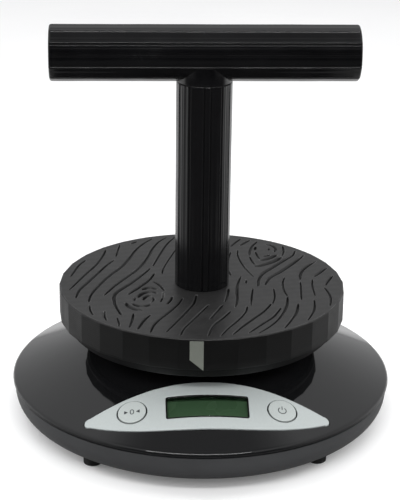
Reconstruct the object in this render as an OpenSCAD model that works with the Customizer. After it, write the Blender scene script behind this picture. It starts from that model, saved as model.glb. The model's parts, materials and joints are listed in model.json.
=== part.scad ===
// Round kitchen scale with a weighing perch standing on its platform.
// Millimetres, +Z up. Origin: centre of the round body on the plane of its feet.
// The display faces -Y, which is the front; +X is on the right seen from there.
// Cutting shapes overrun the faces they open, mostly by 1 mm.

/* [Scale body] */
// Widest diameter of the round body, at the seam between the two case halves
body_d = 194; // [192:1:198]
// Height of the seam between the case halves above the table
seam_z = 22.2; // [22:0.1:22.4]
// Height of the rubber feet
foot_h = 3; // [2.6:0.1:3.2]
// Slope of the top case, from its rim up towards the platform (degrees)
shell_slope = 23.5; // [23:0.5:24]
// Wall thickness of both case halves
wall = 2.2; // [2:0.1:2.4]

/* [Control panel] */
// Distance from the scale's centre to the inner edge of the panel, in plan
panel_in = 56.5; // [56:0.5:57]
// Distance from the scale's centre to the outer edge of the panel, in plan
panel_out = 82.7; // [82:0.1:83.2]
// Half length of the panel, up to its rounded tips
panel_half = 56; // [55:0.1:57]
// How far the panel stands above the top case
panel_proud = 0.3; // [0.2:0.05:0.5]
// Gap round the panel in its recess
panel_gap = 0.45; // [0.3:0.05:0.6]
// Half width of the display opening
lcd_half = 19.9; // [19.5:0.1:20.2]
// Radius of the two round keys
key_r = 6.7; // [6.5:0.05:6.8]

/* [Platform] */
// Radius of the round weighing platform
pan_r = 68.5; // [67:0.5:70]
// Height of the platform's top face
pan_z = 56; // [55.8:0.1:56.4]

/* [Load cell] */
// Length of the load cell bar
cell_l = 80; // [79:0.5:81]
// Width and height of the load cell bar
cell_s = 12.7; // [12.5:0.1:12.7]
// Gap that lets the platform sink before the stop takes the load
sink_gap = 0.5; // [0.45:0.05:0.6]

/* [Perch] */
// Radius of the round perch base
base_r = 72.5; // [70:0.5:74]
// Thickness of the perch base
base_t = 16; // [15:0.5:17]
// Radius of the post and of the crossbar
post_r = 13.8; // [13.5:0.1:14]
// Height of the crossbar's axis above the perch base's top face
bar_up = 119.5; // [118:0.5:121]
// Length of the crossbar
bar_l = 150; // [140:1:156]
// Depth of the grooves of the grain on the perch base
grain_depth = 0.9; // [0.5:0.1:1.2]
// Width of the grooves of the grain, as a share of the normal width
grain_width = 1; // [0.8:0.05:1.2]

/* [Hidden] */
$fn = 96;

// Case
body_r = body_d / 2;
rim_r = body_r - 1.5;               // where the rounded rim meets the cone
rim_z = seam_z + 3.05;
floor_z = foot_h + wall;            // inner floor of the bottom case
stem_hole_r = 14;                   // hole in the top case for the bracket's stem
crown_r = 44.3;                     // flat crown of the top case
foot_top = foot_h + 3.4;            // the feet reach this far up into the case
foot_at = [for (sx = [-1, 1], sy = [-1, 1]) [sx * 55.2, sy * 57.4]];
case_screw_at = [for (sx = [-1, 1], sy = [-1, 1]) [sx * 67, sy * 31]];
case_screw_r = 1.5;
case_head_top = 12;                 // top of the screw heads in their pockets
case_boss_top = 20;

// Control panel. Heights in its frame are measured from the case surface.
panel_mid = 70;                     // distance of the frame's origin from the centre, in plan
lcd_front = -76.3;                  // display opening, in plan
lcd_back = -63.5;
key_x = 36;
key_y = -0.7;
tare_side = -1;                     // side of the panel, along X
power_side = 1;
board_top = -13;
board_t = 1.6;
board_bottom = board_top - board_t;
board_post_at = [for (sx = [-1, 1], y = [-8, 9.5]) [sx * 25.2, y]];
board_screw_r = 1;
glass_z = -6.4;                     // underside of the display glass
plunger_up = 2.1;                   // underside of a plunger above the board
plunger_h = 2.2;

// Load cell: fixed at its -X end, carrying the platform at its +X end
cell_z = floor_z + 3;               // underside of the load cell
cell_top = cell_z + cell_s;
spacer_t = 1.5;
cell_fixed_x = [-35, -20];          // screws into the bottom case
cell_free_x = [20, 35];             // screws into the platform's bracket
cell_screw_r = 2;
cell_screw_gap = 0.1;               // clearance round the screws in the case and the spacer
cell_head_h = 2.2;
base_head_z = foot_h + 0.3;         // underside of the heads of the fixed end's screws
gauge_x = [-6.5, 6.5];
gauge_t = 0.25;
stop_x = 27.5;
stop_r = 1.5;

// Battery bay
bay_x = 25;                         // half length
bay_front = 42.4;
bay_back = 65.4;
bay_top = 17.2;
bay_wall = 2.2;
flap_t = 2;
flap_side_gap = 0.35;
flap_y = 43.6;                      // hinge axis of the flap
flap_z = foot_h + 1;
battery_y = [48.4, 59.6];
battery_z = foot_h + flap_t + 0.35 + 5.25;
contact_t = 0.4;
contact_size = 8;
spring_l = 4.6;
lead_x = -46;

// Platform
pan_t = 3;
flange_t = 2.6;                     // disc of the bracket, right below the pan
flange_z = pan_z - pan_t - flange_t;
grommet_r = 3.4;                    // waist of a grommet, in the bracket's hole

// Perch
base_z = pan_z;                     // underside of the perch base
base_top = base_z + base_t;
bar_z = base_top + bar_up;
neck_r = post_r - 0.15;             // plain neck between the post and the bar
neck_in = 2;                        // the neck ends this far below the bar's axis
tie_r = 3;
washer_z = base_z + 5;
washer_t = 1;
insert_r = 4.2;
dowel_x = 8;
dowel_r = 1.5;
dowel_in = 8;                       // depth in the base, and in the post

// ---------- helpers ----------
module up(z) {
    translate([0, 0, z]) children();
}

module at(points) {
    for (p = points) translate([p[0], p[1], 0]) children();
}

module along_x(places) {
    for (x = places) translate([x, 0, 0]) children();
}

// Block centred in X and Y, standing on z = 0
module slab(length, width, height) {
    translate([-length / 2, -width / 2, 0]) cube([length, width, height]);
}

// Height of the top case's conical surface at radius r
function shell_z(r) = rim_z + (rim_r - r) * tan(shell_slope);

// Height that a step along the cone's normal adds, measured straight up
function upright(step) = step / cos(shell_slope);

// A layer that follows the cone of the top case, between two offsets along its normal
module cone_band(low, high) {
    inner = 30;
    outer = 96;
    rotate_extrude($fn = 180) polygon([
        [inner, shell_z(inner) + upright(low)], [outer, shell_z(outer) + upright(low)],
        [outer, shell_z(outer) + upright(high)], [inner, shell_z(inner) + upright(high)]]);
}

// The panel's own frame: x across, y up the slope, z out of the surface
module panel_frame() {
    translate([0, -panel_mid, shell_z(panel_mid)]) rotate([shell_slope, 0, 0]) children();
}

module at_keys(sides = [tare_side, power_side]) {
    panel_frame() for (side = sides) translate([side * key_x, key_y, 0]) children();
}

// Outline of the control panel in plan, grown by grow: a lens with a full upper arc,
// a flatter lower edge and small round tips
function panel_back_y(x) = -(panel_in + 6.5e-4 * pow(abs(x), 2.42));
function panel_front_y(x) = -(panel_out - 0.405e-4 * pow(abs(x), 3.08));
function lens(grow) = let (
        steps = 26,
        tip_back = panel_back_y(panel_half),
        tip_front = panel_front_y(panel_half),
        tip_y = (tip_back + tip_front) / 2,
        tip_r = (tip_back - tip_front) / 2 + grow,
        across = [for (i = [0 : steps]) -panel_half + 2 * panel_half * i / steps])
    concat(
        [for (x = across) [x, panel_back_y(x) + grow]],
        [for (a = [60 : -30 : -60]) [panel_half + tip_r * cos(a), tip_y + tip_r * sin(a)]],
        [for (x = across) [-x, panel_front_y(x) - grow]],
        [for (a = [240 : -30 : 120]) [-panel_half + tip_r * cos(a), tip_y + tip_r * sin(a)]]);

module lens_prism(grow) {
    linear_extrude(height = 60) polygon(lens(grow));
}

// The display opening in plan, drawn in by inset, with its corners cut back by cut
module lcd_prism(inset, cut) {
    right = lcd_half - inset;
    front = lcd_front + inset;
    back = lcd_back - inset;
    nick = cut * 0.3;
    linear_extrude(height = 60) polygon([
        [-right + cut, front], [right - cut, front], [right - nick, front + nick],
        [right, front + cut], [right, back - cut], [right - nick, back - nick],
        [right - cut, back], [-right + cut, back], [-right + nick, back - nick],
        [-right, back - cut], [-right, front + cut], [-right + nick, front + nick]]);
}

// Outline of a band along a path, with its half width at each point
function unit(v) = v / norm(v);
function normal(path, i) = let (
        along = unit(path[min(i + 1, len(path) - 1)] - path[max(i - 1, 0)]))
    [-along[1], along[0]];
function band(path, half) = let (last = len(path) - 1) concat(
    [for (i = [0 : last]) path[i] + normal(path, i) * half[i]],
    [for (i = [last : -1 : 0]) path[i] - normal(path, i) * half[i]]);

// A flat ribbon that follows a path in the YZ plane
module ribbon(path, thickness, x, width) {
    translate([x, 0, 0]) rotate([90, 0, 90]) linear_extrude(height = width)
        polygon(band(path, [for (p = path) thickness / 2]));
}

// Outer profile of the bottom case at a share of its depth below the seam
lower_h = seam_z - 0.5 - foot_h;
lower_steps = 22;
function lower_r(share) = body_r - 30 + 29.1 * sqrt(max(0, 1 - pow(share, 3)));
function lower_z(share) = foot_h + lower_h * (1 - share);
// Profile points from the bottom (step lower_steps) up to the seam (step 0)
function lower_profile(last = 0, inset = 0) = [
    for (i = [lower_steps : -1 : last]) let (share = 1 - pow(1 - i / lower_steps, 1.6))
        [lower_r(share) - inset, lower_z(share)]];

// ---------- scale: case ----------
module bottom_shell() {
    inner_steps = 18;
    rotate_extrude($fn = 180) polygon(concat(
        [[0, foot_h]],
        lower_profile(),
        // lip at the seam
        [[body_r - 1.5, seam_z - 0.3], [body_r - 3.0, seam_z - 0.3],
         [body_r - 3.0, seam_z + 0.9], [body_r - 4.4, seam_z + 0.9]],
        // inner face, thicker towards the seam
        [for (i = [0 : inner_steps]) let (share = i / inner_steps * 0.86)
            [lower_r(share) - wall - 1.2 * (1 - i / inner_steps), lower_z(share)]],
        [[body_r - 19, floor_z], [0, floor_z]]));
}

module bottom_case() {
    inside_z = foot_h + 0.5;        // parts on the floor start inside its thickness
    seat_x = -41;
    seat_l = 26;
    seat_y = 9.2;
    seat_wall = 2;
    color("#2b2c2e") difference() {
        union() {
            bottom_shell();
            at(case_screw_at) up(foot_h + 1.4)
                cylinder(h = case_boss_top - foot_h - 1.4, r = 4.6, $fn = 48);
            // seats of the rubber feet
            intersection() {
                at(foot_at) up(foot_h + 1) cylinder(h = 4.6, r = 6.3, $fn = 48);
                rotate_extrude($fn = 180) polygon(concat([[60, 12], [60, foot_h]],
                    lower_profile(last = 8, inset = 0.3), [[body_r - 9, 12]]));
            }
            // walls and roof of the battery bay
            translate([-bay_x - bay_wall, bay_front - bay_wall, inside_z])
                cube([2 * (bay_x + bay_wall), bay_back - bay_front + 2 * bay_wall,
                      bay_top + 1.6 - inside_z]);
            // boss of the overload stop
            translate([stop_x, 0, inside_z]) cylinder(h = 3.6, r = 3.2, $fn = 48);
            // seat of the load cell's fixed end, with a low wall on each side
            translate([seat_x, -seat_y, inside_z])
                cube([seat_l, 2 * seat_y, cell_z - spacer_t - inside_z]);
            for (y = [-seat_y, seat_y - seat_wall]) translate([seat_x, y, inside_z])
                cube([seat_l, seat_wall, 6.5]);
        }
        // battery bay, open at the bottom
        translate([-bay_x, bay_front, foot_h - 1])
            cube([2 * bay_x, bay_back - bay_front, bay_top - foot_h + 1]);
        // sockets for the flap's pins
        for (side = [-1, 1]) translate([side * bay_x, flap_y, flap_z])
            rotate([0, side * 90, 0]) up(-1) cylinder(h = 2.75, r = 0.86, $fn = 32);
        // finger scoop at the flap's free edge
        translate([0, bay_back + 0.2, foot_h - 1.6]) cylinder(h = 2.6, r = 5, $fn = 48);
        at(case_screw_at) {
            cylinder(h = case_head_top, r = 3.2, $fn = 48);
            cylinder(h = 22, r = 1.62, $fn = 32);
        }
        at(foot_at) cylinder(h = foot_top, r = 4.8, $fn = 48);
        along_x(cell_fixed_x) {
            cylinder(h = base_head_z + cell_head_h, r = 3.6, $fn = 40);
            cylinder(h = cell_z, r = cell_screw_r + cell_screw_gap, $fn = 40);
        }
        translate([stop_x, 0, 0]) cylinder(h = 9, r = stop_r, $fn = 32);
    }
}

module top_shell() {
    crown_z = shell_z(crown_r);
    wall_h = upright(wall);
    rotate_extrude($fn = 180) polygon([
        // crown
        [stem_hole_r, crown_z], [stem_hole_r + 1, crown_z + 0.25],
        [crown_r - 3, crown_z + 0.25], [crown_r - 1.2, crown_z + 0.1], [crown_r, crown_z],
        // cone and rounded rim
        [rim_r, rim_z], [rim_r + 0.8, rim_z - 0.45], [body_r - 0.2, rim_z - 1.05],
        [body_r, rim_z - 1.75], [body_r - 0.1, rim_z - 2.25], [body_r - 0.7, rim_z - 2.75],
        [body_r - 2.8, rim_z - 2.75], [body_r - 2.8, rim_z - 2.0],
        // inner face, down to the collar round the stem's hole
        [body_r - 5.5, shell_z(body_r - 5.5) - wall_h], [crown_r, crown_z - wall_h],
        [stem_hole_r + 1.6, crown_z - wall], [stem_hole_r + 1.6, crown_z - 5],
        [stem_hole_r, crown_z - 5]]);
}

module top_case() {
    color("#0d0e10") difference() {
        union() {
            top_shell();
            // screw bosses, ended below the outer face
            intersection() {
                at(case_screw_at) up(case_boss_top) cylinder(h = 20, r = 4.2, $fn = 48);
                rotate_extrude($fn = 180) polygon([[crown_r, 15], [rim_r, 15],
                    [rim_r, rim_z - 1.2], [crown_r, shell_z(crown_r) - 1.2]]);
            }
            // posts of the main board
            panel_frame() at(board_post_at) up(board_top)
                cylinder(h = -board_top - 3.2, r = 2.3, $fn = 40);
        }
        // recess of the control panel
        intersection() {
            cone_band(-0.95, 8);
            lens_prism(panel_gap);
        }
        // openings under the panel
        panel_frame() up(-8) slab(45.6, 19.8, 12);
        at_keys() up(-8) cylinder(h = 12, r = key_r + 0.35, $fn = 72);
        panel_frame() at(board_post_at) up(board_top - 1)
            cylinder(h = 8, r = board_screw_r, $fn = 32);
        at(case_screw_at) up(case_boss_top - 1) cylinder(h = 9, r = case_screw_r, $fn = 32);
    }
}

module rubber_feet() {
    color("#151515") at(foot_at) rotate_extrude($fn = 60) polygon([
        [0, 0.25], [3.0, 0.25], [3.4, 0], [4.1, 0], [4.6, 0.5], [4.7, foot_top], [0, foot_top]]);
}

// Screws with cross slots, driven from below
module case_screws() {
    head_h = 2.2;
    head_z = case_head_top - head_h;
    color("#9b9ea1") at(case_screw_at) {
        difference() {
            up(head_z) cylinder(h = head_h, r = 2.9, $fn = 40);
            for (a = [0, 90]) rotate([0, 0, a]) up(head_z) cube([3.4, 0.7, 2], center = true);
        }
        up(case_head_top) cylinder(h = 14, r = case_screw_r, $fn = 32);
    }
}

// ---------- scale: control panel ----------
panel_under = -0.93;                // underside of the panel and of the bezel

module face_panel() {
    color("#c6c8c2") difference() {
        intersection() {
            cone_band(panel_under, panel_proud);
            lens_prism(0);
        }
        lcd_prism(inset = 0, cut = 1.4);
        at_keys() up(-8) cylinder(h = 12, r = key_r + 0.3, $fn = 72);
    }
}

module lcd_bezel() {
    color("#141516") difference() {
        intersection() {
            cone_band(panel_under, panel_proud - 0.05);
            lcd_prism(inset = 0.05, cut = 1.4);
        }
        lcd_prism(inset = 0.75, cut = 1.1);
    }
}

module lcd_window() {
    color("#9fb0a4", 0.6) intersection() {
        cone_band(-0.9, panel_proud - 0.15);
        lcd_prism(inset = 0.8, cut = 1.0);
    }
}

// Frame that holds the glass on the board, with a viewing opening on top
module lcd_frame() {
    color("#1d1e1f") panel_frame() difference() {
        up(board_top) slab(44.8, 19, -board_top - 2.9);
        up(board_top - 1) slab(42.2, 16.8, -board_top - 2.6);
        translate([-20, -7.8, -6]) cube([40, 15.8, 8]);
    }
}

module lcd_glass() {
    color("#5d7466") panel_frame() up(glass_z) slab(42, 16.6, 2.6);
}

module zebra_strips() {
    color("#d98f8f") panel_frame() for (y = [-7.6, 5.6]) translate([-20, y, board_top])
        cube([40, 2, glass_z - board_top]);
}

module main_board() {
    color("#1f6b3a") panel_frame() difference() {
        union() {
            translate([-45, -7, board_bottom]) cube([90, 20, board_t]);
            translate([-38, -11, board_bottom]) cube([76, 4, board_t]);
        }
        at(board_post_at) up(board_bottom - 1)
            cylinder(h = board_t + 2, r = board_screw_r + 0.15, $fn = 32);
    }
}

// Chip and smaller parts under the board
module control_chip() {
    color("#101010") panel_frame() {
        up(board_bottom - 1.5) slab(12, 8, 1.5);
        translate([12, -3, board_bottom - 2.2]) cube([8, 3, 2.2]);
        for (x = [-20 : 4 : -12]) translate([x, 2, board_bottom - 0.8]) cube([2, 1.2, 0.8]);
    }
}

module tact_switches() {
    color("#3a3a3c") at_keys() up(board_top) difference() {
        slab(6, 6, 3.5);
        up(1.4) cylinder(h = 3, r = 1.7, $fn = 40);
    }
}

// A switch's own plunger: it travels with the key above it
module plunger(side) {
    at_keys([side]) up(board_top + plunger_up) cylinder(h = plunger_h, r = 1.64, $fn = 40);
}

module tare_plunger() {
    color("#8a8a86") plunger(tare_side);
}

module power_plunger() {
    color("#8a8a86") plunger(power_side);
}

// Slotted screws, driven from under the board
module board_screws() {
    head_h = 1.4;
    color("#b9bbbd") panel_frame() at(board_post_at) {
        up(board_bottom - head_h) difference() {
            cylinder(h = head_h, r = 2.1, $fn = 40);
            up(-1) cube([2.6, 0.5, 3], center = true);
        }
        up(board_bottom) cylinder(h = 6.5, r = board_screw_r, $fn = 32);
    }
}

// A round key: its face follows the cone of the panel, a flange below holds it in
module key(side) {
    union() {
        intersection() {
            cone_band(-3.4, panel_proud + 0.35);
            at_keys([side]) up(-9) cylinder(h = 14, r = key_r, $fn = 72);
        }
        at_keys([side]) {
            up(-8.6) cylinder(h = 0.8, r = 8.1, $fn = 72);
            up(-8) cylinder(h = 3.2, r = key_r, $fn = 72);
            // nub on top of the plunger
            up(board_top + plunger_up + plunger_h) cylinder(h = 0.6, r = 1.6, $fn = 40);
        }
    }
}

module tare_button() {
    color("#c6c8c2") key(tare_side);
}

module power_button() {
    color("#c6c8c2") key(power_side);
}

// ---------- scale: weighing mechanism ----------
module cell_holes(places, r) {
    for (x = places) translate([cell_l / 2 + x, cell_s / 2, -1])
        cylinder(h = cell_s + 2, r = r, $fn = 40);
}

// Bar with two cross bores joined by a slot under the gauges
module load_cell() {
    slot_h = 4;
    color("#b4b8bc") translate([-cell_l / 2, -cell_s / 2, cell_z]) difference() {
        cube([cell_l, cell_s, cell_s]);
        for (x = gauge_x) translate([cell_l / 2 + x, -1, cell_s / 2]) rotate([-90, 0, 0])
            cylinder(h = cell_s + 2, r = 4.6, $fn = 60);
        translate([cell_l / 2 + gauge_x[0], -1, (cell_s - slot_h) / 2])
            cube([gauge_x[1] - gauge_x[0], cell_s + 2, slot_h]);
        cell_holes(cell_fixed_x, cell_screw_r);
        cell_holes(cell_free_x, cell_screw_r + 0.08);
    }
}

module strain_gauges() {
    color("#e9e6dc") for (x = gauge_x, z = [cell_z - gauge_t, cell_top])
        translate([x, 0, z]) slab(6.8, 6, gauge_t);
}

module cell_spacer() {
    color("#9a9da0") difference() {
        translate([-40.5, -7, cell_z - spacer_t]) cube([25, 14, spacer_t]);
        along_x(cell_fixed_x) up(cell_z - 3)
            cylinder(h = 5, r = cell_screw_r + cell_screw_gap, $fn = 40);
    }
}

// Load cell screws with hexagon sockets, driven from below
module cell_screws(places, head_z, socket_depth, overrun, shank_l) {
    along_x(places) {
        up(head_z) difference() {
            cylinder(h = cell_head_h, r = 3.4, $fn = 40);
            up(-overrun) cylinder(h = socket_depth + overrun, r = 1.6, $fn = 6);
        }
        up(head_z + cell_head_h) cylinder(h = shank_l, r = cell_screw_r, $fn = 40);
    }
}

module cell_base_screws() {
    color("#8f9296") cell_screws(cell_fixed_x, head_z = base_head_z,
        socket_depth = 1.4, overrun = 1, shank_l = 12);
}

module cell_top_screws() {
    color("#8f9296") cell_screws(cell_free_x, head_z = cell_z - 0.1 - cell_head_h,
        socket_depth = 1.1, overrun = 0.7, shank_l = cell_s + 4.6);
}

// Set screw under the load cell's free end
module overload_stop() {
    stop_z = foot_h + 0.4;
    color("#7f8286") difference() {
        translate([stop_x, 0, stop_z])
            cylinder(h = cell_z - sink_gap + 0.1 - stop_z, r = stop_r, $fn = 32);
        translate([stop_x, 0, foot_h]) cylinder(h = 2, r = 0.8, $fn = 6);
    }
}

// Flat cable from the load cell forward to the main board
module cell_cable() {
    start_z = cell_z + 6;
    color("#c23b32") ribbon([[-cell_s / 2 - 0.2, start_z], [-12, start_z - 1.5], [-20, 8.2],
        [-44, 8.2], [-52, 14], [-58.3, 24.7]], thickness = 0.9, x = -12, width = 4);
}

// ---------- scale: batteries ----------
module battery_leads() {
    lead_t = 1;
    lead_w = 3;
    color("#b02a26") {
        ribbon([[48, 11], [40, 8], [34, 6.4], [-44, 6.4], [-52, 12], [-59, 24.5]],
            thickness = lead_t, x = lead_x, width = lead_w);
        // crosspiece to the wall of the bay
        translate([lead_x, 47.8, 10.5]) cube([-lead_x - bay_x - bay_wall, lead_w, lead_t]);
    }
}

// One plate for each battery at +X, and one that joins both at -X
module battery_contacts() {
    half = contact_size / 2;
    pitch = battery_y[1] - battery_y[0];
    color("#c9b26a") {
        for (y = battery_y) translate([bay_x - contact_t, y - half, battery_z - half])
            cube([contact_t, contact_size, contact_size]);
        translate([-bay_x, battery_y[0] - half, battery_z - half])
            cube([contact_t, pitch + contact_size, contact_size]);
    }
}

// Each spring is a stack of wire rings that narrows towards the battery
module battery_springs() {
    wire_r = 0.35;
    color("#c8cacc") for (y = battery_y) translate([-bay_x + contact_t, y, battery_z])
        rotate([0, 90, 0]) {
            for (i = [0 : 6]) up(wire_r + i * 0.62) rotate_extrude($fn = 48)
                translate([3.6 - i * 0.28, 0]) circle(r = wire_r, $fn = 16);
            // bar that joins the rings
            translate([2.3, -0.3, 0]) rotate([0, -16, 0]) cube([0.5, 0.6, 4.2]);
        }
}

module batteries() {
    start_x = -bay_x + contact_t + spring_l;
    can_l = 43.3;
    color("#3f6f8f") for (y = battery_y) translate([start_x, y, battery_z]) rotate([0, 90, 0]) {
        cylinder(h = can_l, r = 5.2, $fn = 60);
        up(can_l) cylinder(h = bay_x - contact_t - start_x - can_l, r = 1.9, $fn = 40);
    }
}

module battery_flap() {
    flap_x = bay_x - flap_side_gap;
    color("#2b2c2e") {
        translate([-flap_x, flap_y, foot_h])
            cube([2 * flap_x, bay_back - flap_side_gap - flap_y, flap_t]);
        // hinge barrel and its pins
        translate([-flap_x, flap_y, flap_z]) rotate([0, 90, 0])
            cylinder(h = 2 * flap_x, r = 1, $fn = 40);
        for (side = [-1, 1]) translate([side * (bay_x - 0.4), flap_y, flap_z])
            rotate([0, side * 90, 0]) cylinder(h = 1.9, r = 0.8, $fn = 32);
        // low ribs on the inside
        for (x = [-14, 14]) translate([x, 46, foot_h + flap_t]) cube([1.2, 16, 0.3]);
    }
}

// ---------- platform ----------
// Places of the pan's three pins
module at_pins() {
    for (a = [90, 210, 330]) rotate([0, 0, a]) translate([19, 0, 0]) children();
}

module weighing_pan() {
    // Outline after the centre of the underside: distance in from the edge, depth below the top
    rim = [[5.5, pan_t], [4.6, 3.5], [3.4, 5.6], [1.6, 5.6], [0.9, 4.9], [0.2, 2.6],
        [0, 1.5], [0.12, 0.85], [0.45, 0.35], [1.0, 0.06], [1.6, 0]];
    color("#101113") union() {
        rotate_extrude($fn = 180) polygon(concat(
            [[0, pan_z - pan_t]],
            [for (p = rim) [pan_r - p[0], pan_z - p[1]]],
            [[0, pan_z]]));
        at_pins() up(pan_z - 6.4) cylinder(h = 4.4, r = 1.95, $fn = 40);
    }
}

module pan_bracket() {
    stem_z = cell_top + 2.6;
    stem_top = flange_z + 0.4;
    rib_z = cell_top + 5;
    color("#3c3e41") difference() {
        union() {
            up(flange_z) cylinder(h = flange_t, r = 25, $fn = 120);
            up(stem_z) cylinder(h = stem_top - stem_z, r = 10, $fn = 80);
            // arm over the load cell, and its pad on the free end
            translate([-12, -8.5, cell_top + 1.5]) cube([52, 17, 4]);
            translate([15, -cell_s / 2, cell_top + sink_gap]) cube([25, cell_s, 2]);
            for (a = [0 : 60 : 300]) rotate([0, 0, a]) translate([9, -0.9, rib_z])
                cube([3.2, 1.8, stem_top - rib_z]);
        }
        at_pins() up(flange_z - 1) cylinder(h = 5, r = grommet_r, $fn = 48);
        // bore of the stem, open at the top
        up(cell_top + 7) cylinder(h = 40, r = 7.6, $fn = 80);
        along_x(cell_free_x) up(cell_top) cylinder(h = 4.6, r = cell_screw_r, $fn = 40);
    }
}

module pan_grommets() {
    bore_r = 2.0;
    lip_r = 4.3;
    lip_z = flange_z - 0.5;
    color("#202020") at_pins() rotate_extrude($fn = 48) polygon([
        [bore_r, lip_z], [lip_r, lip_z], [lip_r, flange_z],
        [grommet_r, flange_z], [grommet_r, pan_z - pan_t], [bore_r, pan_z - pan_t]]);
}

// ---------- perch ----------
// Grain of the base's top face: strokes that lean to the right and part round two knots.
// Each stroke is its half width, then the points its centre line runs through.
grain_lines = [
    // left of the post
    [0.50, [-60, 32], [-63.5, 24], [-65.5, 15], [-67, 9]],
    [0.52, [-49.5, 47], [-51, 38], [-54, 26], [-59, 13], [-63, 2], [-67, -9]],
    [0.62, [-45, 32], [-49, 24], [-54, 11], [-59, -2], [-62, -10], [-63.5, -20]],
    [0.34, [-42, 55], [-43, 46], [-44, 37]],
    [0.62, [-33, 60], [-35.8, 56.5]],
    [0.66, [-24.5, 64], [-29, 57], [-33, 48], [-37, 34], [-41, 22], [-47, 10], [-52, -3],
        [-56, -16], [-57, -25]],
    [0.62, [-16.5, 66], [-21, 59], [-24.5, 48], [-27, 36], [-32, 20], [-39, 6], [-45, -6],
        [-49.5, -17]],
    [0.50, [-12, 66.5], [-16, 57], [-20, 42], [-24.5, 23]],
    [0.62, [-26, 20], [-30, 11], [-36, -1], [-42, -11], [-44.5, -18], [-44, -29], [-41, -42]],
    [0.34, [-12, 47], [-15, 36], [-19, 20], [-20, 12]],
    // behind the post
    [0.50, [-3.5, 68], [-7.5, 59], [-10.5, 51]],
    [0.56, [5, 68], [0, 56], [-4, 44], [-8, 31], [-12, 18]],
    [0.52, [12, 67], [7.5, 56], [3.5, 44], [-0.5, 31], [-2.5, 19]],
    [0.42, [13, 52], [10, 42], [7, 30], [5.4, 18]],
    [0.40, [17.4, 43], [15.4, 32], [14.2, 21], [15.4, 9]],
    // round the left knot
    [0.58, [-24, 12.5], [-26.5, 4], [-31, -5], [-37.5, -16]],
    [0.52, [-25, 1.5], [-22, -3], [-19.5, -11]],
    [0.86, [-30.5, -9.8], [-28, -7.6], [-25.5, -7.4], [-23.5, -9.4]],
    [0.78, [-32.5, -20], [-31, -16], [-28, -13.2], [-25, -12.8], [-23.8, -14.8]],
    [0.62, [-30, -23.5], [-29, -19.5], [-26.5, -17]],
    [0.40, [-25.4, -19.6], [-25, -23], [-26.2, -26.4]],
    [0.40, [-34.3, -19.8], [-34.4, -24]],
    [0.80, [-35.6, -27.6], [-32.8, -30.8], [-29, -31], [-26.8, -29]],
    [0.86, [-38.8, -26.4], [-37.2, -31.6], [-34.2, -35.2], [-30.8, -36]],
    [0.32, [-20, -14], [-20.4, -20], [-21.5, -26]],
    // front
    [0.34, [-49, -37], [-49, -43], [-48, -49]],
    [0.32, [-56.6, -29], [-56, -36], [-54.6, -42]],
    [0.30, [-43, -45], [-42, -52], [-42, -56]],
    [0.42, [-35, -40], [-35.6, -48], [-37, -57]],
    [0.56, [-26.8, -42], [-30, -49], [-33, -59.5]],
    [0.42, [-15.5, -19], [-16.4, -24], [-18.2, -28.5]],
    [0.54, [-10.5, -21], [-13, -29], [-18, -39.5], [-23, -49], [-25.6, -56], [-27, -63]],
    [0.54, [-3.5, -17], [-5, -27], [-9, -38], [-14, -50], [-19.5, -62.5]],
    [0.52, [2, -30], [-2, -39], [-7, -50], [-11, -59], [-13, -67]],
    [0.50, [9, -30], [6, -38], [2, -47.5]],
    [0.56, [12.5, -38], [8.5, -46], [4.5, -53], [2, -60], [0.2, -68]],
    [0.40, [13, -9], [12, -18], [10.4, -26]],
    [0.46, [20.5, 8], [18, -4], [17, -14], [16.6, -23], [15.2, -33]],
    [0.44, [21, -32], [19.5, -40], [15, -50], [10, -59], [6, -68]],
    [0.60, [33, -29], [29, -38], [23, -47.5], [17, -57], [12, -66]],
    [0.54, [37.5, -34], [33, -45], [26, -55], [19.5, -64.5]],
    [0.50, [42, -20], [40.4, -32], [35.6, -47], [30, -57], [24, -65]],
    [0.48, [46.5, -29], [44.5, -40], [41, -50], [37, -59]],
    [0.38, [55, -24], [53.5, -37], [49, -50]],
    // right, plain part
    [0.32, [25.5, -9], [24, -20], [23, -31]],
    [0.32, [36, -9], [35.6, -20], [33.8, -29]],
    [0.40, [43, 6], [41.4, -1], [41, -11], [42, -19]],
    [0.34, [50.6, 0], [49.6, -12], [48.6, -24]],
    [0.34, [57, 3], [56, -7], [56, -19]],
    [0.42, [62, -8], [63, -14], [63.5, -22], [62, -32]],
    [0.46, [68, 8], [65.4, 1.6], [63, -5]],
    [0.58, [66, 19], [62, 12.4], [58.5, 7]],
    [0.58, [61.5, 29], [58, 24], [53.6, 16.5], [51.3, 8.5], [50.8, 3]],
    [0.34, [23, 3], [22.6, -2]],
    // round the right knot
    [0.54, [24, 63.5], [21, 58], [18, 51.5]],
    [0.62, [29, 61.2], [26, 57.4], [23.4, 53]],
    [0.30, [21.6, 47], [21, 37], [23, 22], [27, 7]],
    [0.52, [33, 59.2], [30, 53], [28, 45.5], [27.2, 38]],
    [0.36, [27.2, 36], [27.8, 30], [29, 24.5]],
    [0.90, [29, 22.2], [31.4, 22.3], [35.5, 25.3], [40.5, 30], [43.8, 35.5]],
    [0.42, [44.5, 37], [46, 44.5], [46.2, 52]],
    [0.56, [31.4, 51], [30.6, 46]],
    [0.40, [30.8, 43.5], [31.4, 37], [32.2, 33]],
    [0.86, [32.4, 31], [34.4, 31.2], [38.2, 34.3], [41.6, 38.8]],
    [0.62, [34.6, 36.6], [36.4, 37.2], [38, 38.8]],
    [0.56, [37.6, 54.2], [40.4, 52.6], [42, 48], [41, 43]],
    [0.40, [38.4, 49], [38.2, 45.6]],
    [0.62, [52, 44.5], [50, 37.5], [44, 28.8], [38, 20], [32.4, 11.6], [29.4, 3], [28.4, -6]],
    [0.66, [56, 38.5], [53, 32], [47, 22], [41, 13], [35.4, 5.4], [32.2, -4]]];

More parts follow.
